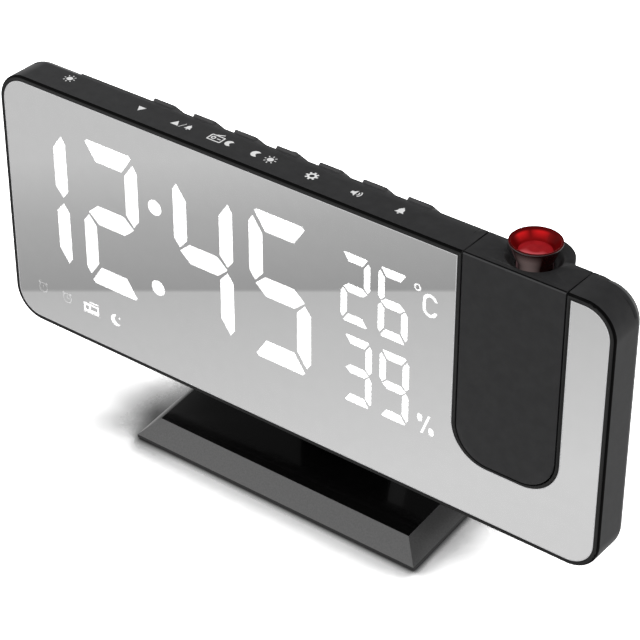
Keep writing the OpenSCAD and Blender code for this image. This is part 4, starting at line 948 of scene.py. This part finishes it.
class CLOCK_OT_screws(bpy.types.Operator):
    """Sets cross-slotted screws in the cover and the projector, and finishes the other fasteners"""
    bl_idname = "clock.screws"
    bl_label = "Screws"

    def execute(self, context):
        props = context.scene.clock_screws
        mat = finish_material("zinc_screw", (0.5, 0.5, 0.5), 0.3, metallic=1.0, spread=0.15, scale=1500.0)
        tree = screw_tree(mat)
        self.place("cover_screws", "clock", props, tree, mat)
        self.place("projector_screws", "projector", props, tree, mat)
        paint(["stand_screws", "hinge_pins", "friction_washers"], mat)
        return {"FINISHED"}

    def place(self, cad, body, props, tree, mat):
        boxes = islands(cad)
        points = bpy.data.meshes.new(cad + "_points")
        points.from_pydata([((a.x + b.x) / 2, b.y, (a.z + b.z) / 2) for a, b in boxes], [], [])
        holder = bpy.data.objects.new(cad + "_points", points)
        bpy.context.scene.collection.objects.link(holder)
        modifier = holder.modifiers.new("screws", "NODES")
        modifier.node_group = tree
        low, high = boxes[0]
        sizes = dict(zip(SCREW_SIZES, ((high.x - low.x) / 2, props.head_t, props.shank_r, high.y - low.y,
                                       props.slot_w, props.slot_d)))
        for item in tree.interface.items_tree:
            if item.in_out == "INPUT" and item.name in sizes:
                modifier[item.identifier] = sizes[item.name]
        graph = bpy.context.evaluated_depsgraph_get()
        mesh = bpy.data.meshes.new_from_object(holder.evaluated_get(graph))
        mesh.transform(CLOCK)
        bpy.data.objects.remove(holder)
        if len(mesh.polygons) < len(boxes) * 20:
            raise RuntimeError(f"{cad}: the screws weren't made")
        piece = make_piece(cad + "_cross", mesh, mat, body, 30.0)
        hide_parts(cad)


class CLOCK_OT_projector(bpy.types.Operator):
    """Finishes the focus cup, the lenses and the light path of the projector"""
    bl_idname = "clock.projector"
    bl_label = "Projector optics"

    def execute(self, context):
        props = context.scene.clock_finishes
        cup = smooth_copy("focus_cup", self.cup_material(props), 40.0)
        # the inside and the brim carry painted light: a painted glow inside and a painted red glow on the
        # brim
        mark_faces(cup, "inside", self.faces_axis)
        mark_faces(cup, "brim", lambda face: face.normal.dot(LENS_AXIS) > 0.35 and not self.faces_axis(face))
        smooth_copy("front_lens", self.lens_material(), 40.0)
        paint(["condenser_lens", "rear_lens"], clear_material("clear_lens", (0.95, 0.97, 1.0), 0.02))
        paint(["lcd_slide"], clear_material("tinted_slide", (0.25, 0.3, 0.35), 0.05))
        paint(["projector_led"], glow_material("red_led", (1.0, 0.1, 0.06), 1.5))
        paint(["optical_tube", "lens_cell"], finish_material("black_tube", (0.01,) * 3, 0.6))
        return {"FINISHED"}

    def faces_axis(self, face):
        """Whether a face of the cup looks towards the lens axis."""
        offset = face.center - LENS_TOP
        radial = offset - LENS_AXIS * offset.dot(LENS_AXIS)
        return face.normal.dot(radial.normalized()) < 0.0

    def cup_material(self, props):
        """Deep red clear plastic, its light painted as glow: nearly black outside, and inside painted lit red
        for the lamp below.
        """
        mat, tree, bsdf = new_material("red_clear_plastic")
        red = Vector(props.cup)
        distance, way = around_lens(tree)
        flank = maths(tree, "ABSOLUTE", along(tree, way, SIDEWAYS))
        inside, brim = mark(tree, "inside"), mark(tree, "brim")
        # painted light: the inside is made lighter than the outside of the same plastic, as if lit from below
        base = blend_colours(tree, inside, mottled(tree, 500.0, red * 0.02, red * 0.04), red * 0.1)
        tree.links.new(base, bsdf.inputs["Base Color"])
        # the cup's highlights and its lit inside are painted as glow
        painted_glow = blend_colours(tree, inside, self.cup_outside(tree, red, distance, way, flank, brim),
                              self.cup_inside(tree, red, distance, way, flank))
        tree.links.new(painted_glow, bsdf.inputs["Emission Color"])
        dull = maths(tree, "ADD", inside, brim, clamp=True)
        tree.links.new(stretch(tree, dull, 0.0, 1.0, 0.5, 0.0), bsdf.inputs["Coat Weight"])
        tree.links.new(stretch(tree, dull, 0.0, 1.0, 0.5, 0.03), bsdf.inputs["Specular IOR Level"])
        bsdf.inputs["Emission Strength"].default_value = 0.5
        bsdf.inputs["Roughness"].default_value = 0.25
        bsdf.inputs["Coat Roughness"].default_value = 0.05
        return mat

    def cup_inside(self, tree, red, distance, way, flank):
        """Painted light inside: two painted highlight spots high on the wall, painted shade on the flanks and
        a painted dark line below the brim.
        """
        # painted highlights: two bright spots at fixed directions on the wall
        spots = maths(tree, "MAXIMUM", along(tree, way, (-0.966, 0.262, 0.0)),
                      along(tree, way, (-0.355, 0.935, 0.0)))
        spot = maths(tree, "MULTIPLY", stretch(tree, spots, 0.90, 0.99),
                     stretch(tree, distance, 4.3 * MM, 5.6 * MM))
        lit = blend_colours(tree, spot, red * 0.5, red * 2.0)
        # painted shade on the flanks
        lit = blend_colours(tree, stretch(tree, flank, 0.65, 0.95), lit, red * 0.12)
        low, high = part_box("focus_cup")
        brim_r = (high.x - low.x) / 2
        # painted shade: a dark line below the brim
        below_brim = stretch(tree, distance, brim_r - 1.0 * MM, brim_r - 0.7 * MM)
        return blend_colours(tree, below_brim, lit, red * 0.15)

    def cup_outside(self, tree, red, distance, way, flank, brim):
        """Black, with painted highlights: a soft pale patch in front and a thin one on each flank, and a
        painted red glow on the brim.
        """
        # painted highlight: a soft pale patch at a fixed direction in front
        highlight_patch = maths(tree, "MULTIPLY", stretch(tree, along(tree, way, (0.187, -0.982, 0.0)), 0.78, 1.0),
                      stretch(tree, distance, 6.3 * MM, 5.3 * MM))
        pale = blend_colours(tree, highlight_patch, BLACK, (0.20, 0.15, 0.145))
        # painted highlights: a thin pale one on each flank
        pale = blend_colours(tree, stretch(tree, flank, 0.90, 0.98), pale, (0.12, 0.07, 0.075))
        # painted red glow on the brim
        return blend_colours(tree, brim, pale, red * 0.12)

    def lens_material(self):
        """Red lens with a painted glow for the projector's light through it, and a painted highlight along
        the front of its edge.
        """
        mat, tree, bsdf = new_material("red_lit_lens")
        distance, way = around_lens(tree)
        # painted highlight: brightest along the front of the edge, at a fixed direction on the lens
        rim = maths(tree, "MULTIPLY", stretch(tree, distance, 1.8 * MM, 3.4 * MM),
                    stretch(tree, along(tree, way, (0.35, -0.94, 0.0)), 0.3, 0.95))
        # painted glow: the lens's red given out as light
        body = mottled(tree, 400.0, (0.15, 0.005, 0.007), (0.19, 0.007, 0.009))
        tree.links.new(blend_colours(tree, rim, body, (0.75, 0.17, 0.19)), bsdf.inputs["Emission Color"])
        tree.links.new(body, bsdf.inputs["Base Color"])
        bsdf.inputs["Emission Strength"].default_value = 0.9
        bsdf.inputs["Roughness"].default_value = 0.25
        bsdf.inputs["Specular IOR Level"].default_value = 0.1
        return mat


class CLOCK_OT_stand(bpy.types.Operator):
    """Finishes the glossy stand and its rubber feet"""
    bl_idname = "clock.stand"
    bl_label = "Stand"

    def execute(self, context):
        props = context.scene.clock_finishes
        for cad in ("stand_base", "stand_neck"):
            piece = smooth_copy(cad, self.gloss_material(props, cad))
            # marks where the material paints lighter greys for the light the bevels and the sides catch
            mark_faces(piece, "bevel", lambda face: cad == "stand_base" and 0.2 < face.normal.z < 0.95)
            mark_faces(piece, "side", lambda face: cad == "stand_base" and abs(face.normal.z) <= 0.2)
        rubber = finish_material("soft_rubber", (0.012,) * 3, 0.85, grain=0.5, grain_scale=1800.0)
        paint(["rubber_feet"], rubber)
        return {"FINISHED"}

    def gloss_material(self, props, cad):
        """Polished black on top, satin-rough on the bevels and dull on the upright sides; the bevels and the
        sides are painted a lighter grey, a painted highlight for the light they catch.
        """
        mat = finish_material("gloss_" + cad, tuple(props.stand), 0.12, coat=0.5, rough_spread=0.02,
                              grain=0.12, grain_scale=2200.0)
        tree = mat.node_tree
        link = tree.links.new
        bsdf = tree.nodes["Principled BSDF"]
        top = bsdf.inputs["Base Color"].links[0].from_socket
        bevel, side = mark(tree, "bevel"), mark(tree, "side")
        # painted highlight: the bevels are made a lighter grey than the black top
        painted_bevel_grey = ramp(tree, noise(tree, 2500.0, 2.0), [(0.35, 0.082), (0.65, 0.102)])
        # the upright sides are painted a lighter grey as well
        shade = blend_colours(tree, side, blend_colours(tree, bevel, top, painted_bevel_grey), (0.03,) * 3)
        link(shade, bsdf.inputs["Base Color"])
        link(stretch(tree, bevel, 0.0, 1.0, 0.12, 0.3), bsdf.inputs["Roughness"])
        link(stretch(tree, side, 0.0, 1.0, 0.5, 0.05), bsdf.inputs["Specular IOR Level"])
        unpolished = maths(tree, "ADD", bevel, side, clamp=True)
        link(stretch(tree, unpolished, 0.0, 1.0, 0.5, 0.0), bsdf.inputs["Coat Weight"])
        return mat


STEPS = (CLOCK_OT_stage, CLOCK_OT_housing, CLOCK_OT_keys, CLOCK_OT_legends, CLOCK_OT_display,
         CLOCK_OT_electronics, CLOCK_OT_screws, CLOCK_OT_projector, CLOCK_OT_stand)


class CLOCK_PT_panel(bpy.types.Panel):
    bl_label = "Projection clock"
    bl_space_type = "VIEW_3D"
    bl_region_type = "UI"
    bl_category = "Clock"

    def draw(self, context):
        for step in STEPS:
            self.layout.operator(step.bl_idname)
        for group in (context.scene.clock_finishes, context.scene.clock_screws, context.scene.clock_stage):
            box = self.layout.box()
            for name in group.__annotations__:
                box.prop(group, name)


CLASSES = (ClockFinishes, ClockStage, ClockScrews, *STEPS, CLOCK_PT_panel)


def register():
    for item in CLASSES:
        bpy.utils.register_class(item)
    bpy.types.Scene.clock_finishes = bpy.props.PointerProperty(type=ClockFinishes)
    bpy.types.Scene.clock_stage = bpy.props.PointerProperty(type=ClockStage)
    bpy.types.Scene.clock_screws = bpy.props.PointerProperty(type=ClockScrews)


def unregister():
    del bpy.types.Scene.clock_finishes, bpy.types.Scene.clock_stage, bpy.types.Scene.clock_screws
    for item in reversed(CLASSES):
        bpy.utils.unregister_class(item)


def main():
    register()
    bpy.ops.clock.stage()
    bpy.ops.clock.housing()
    bpy.ops.clock.keys()
    bpy.ops.clock.legends()
    bpy.ops.clock.display()
    bpy.ops.clock.electronics()
    bpy.ops.clock.screws()
    bpy.ops.clock.projector()
    bpy.ops.clock.stand()


if __name__ == "__main__":
    main()
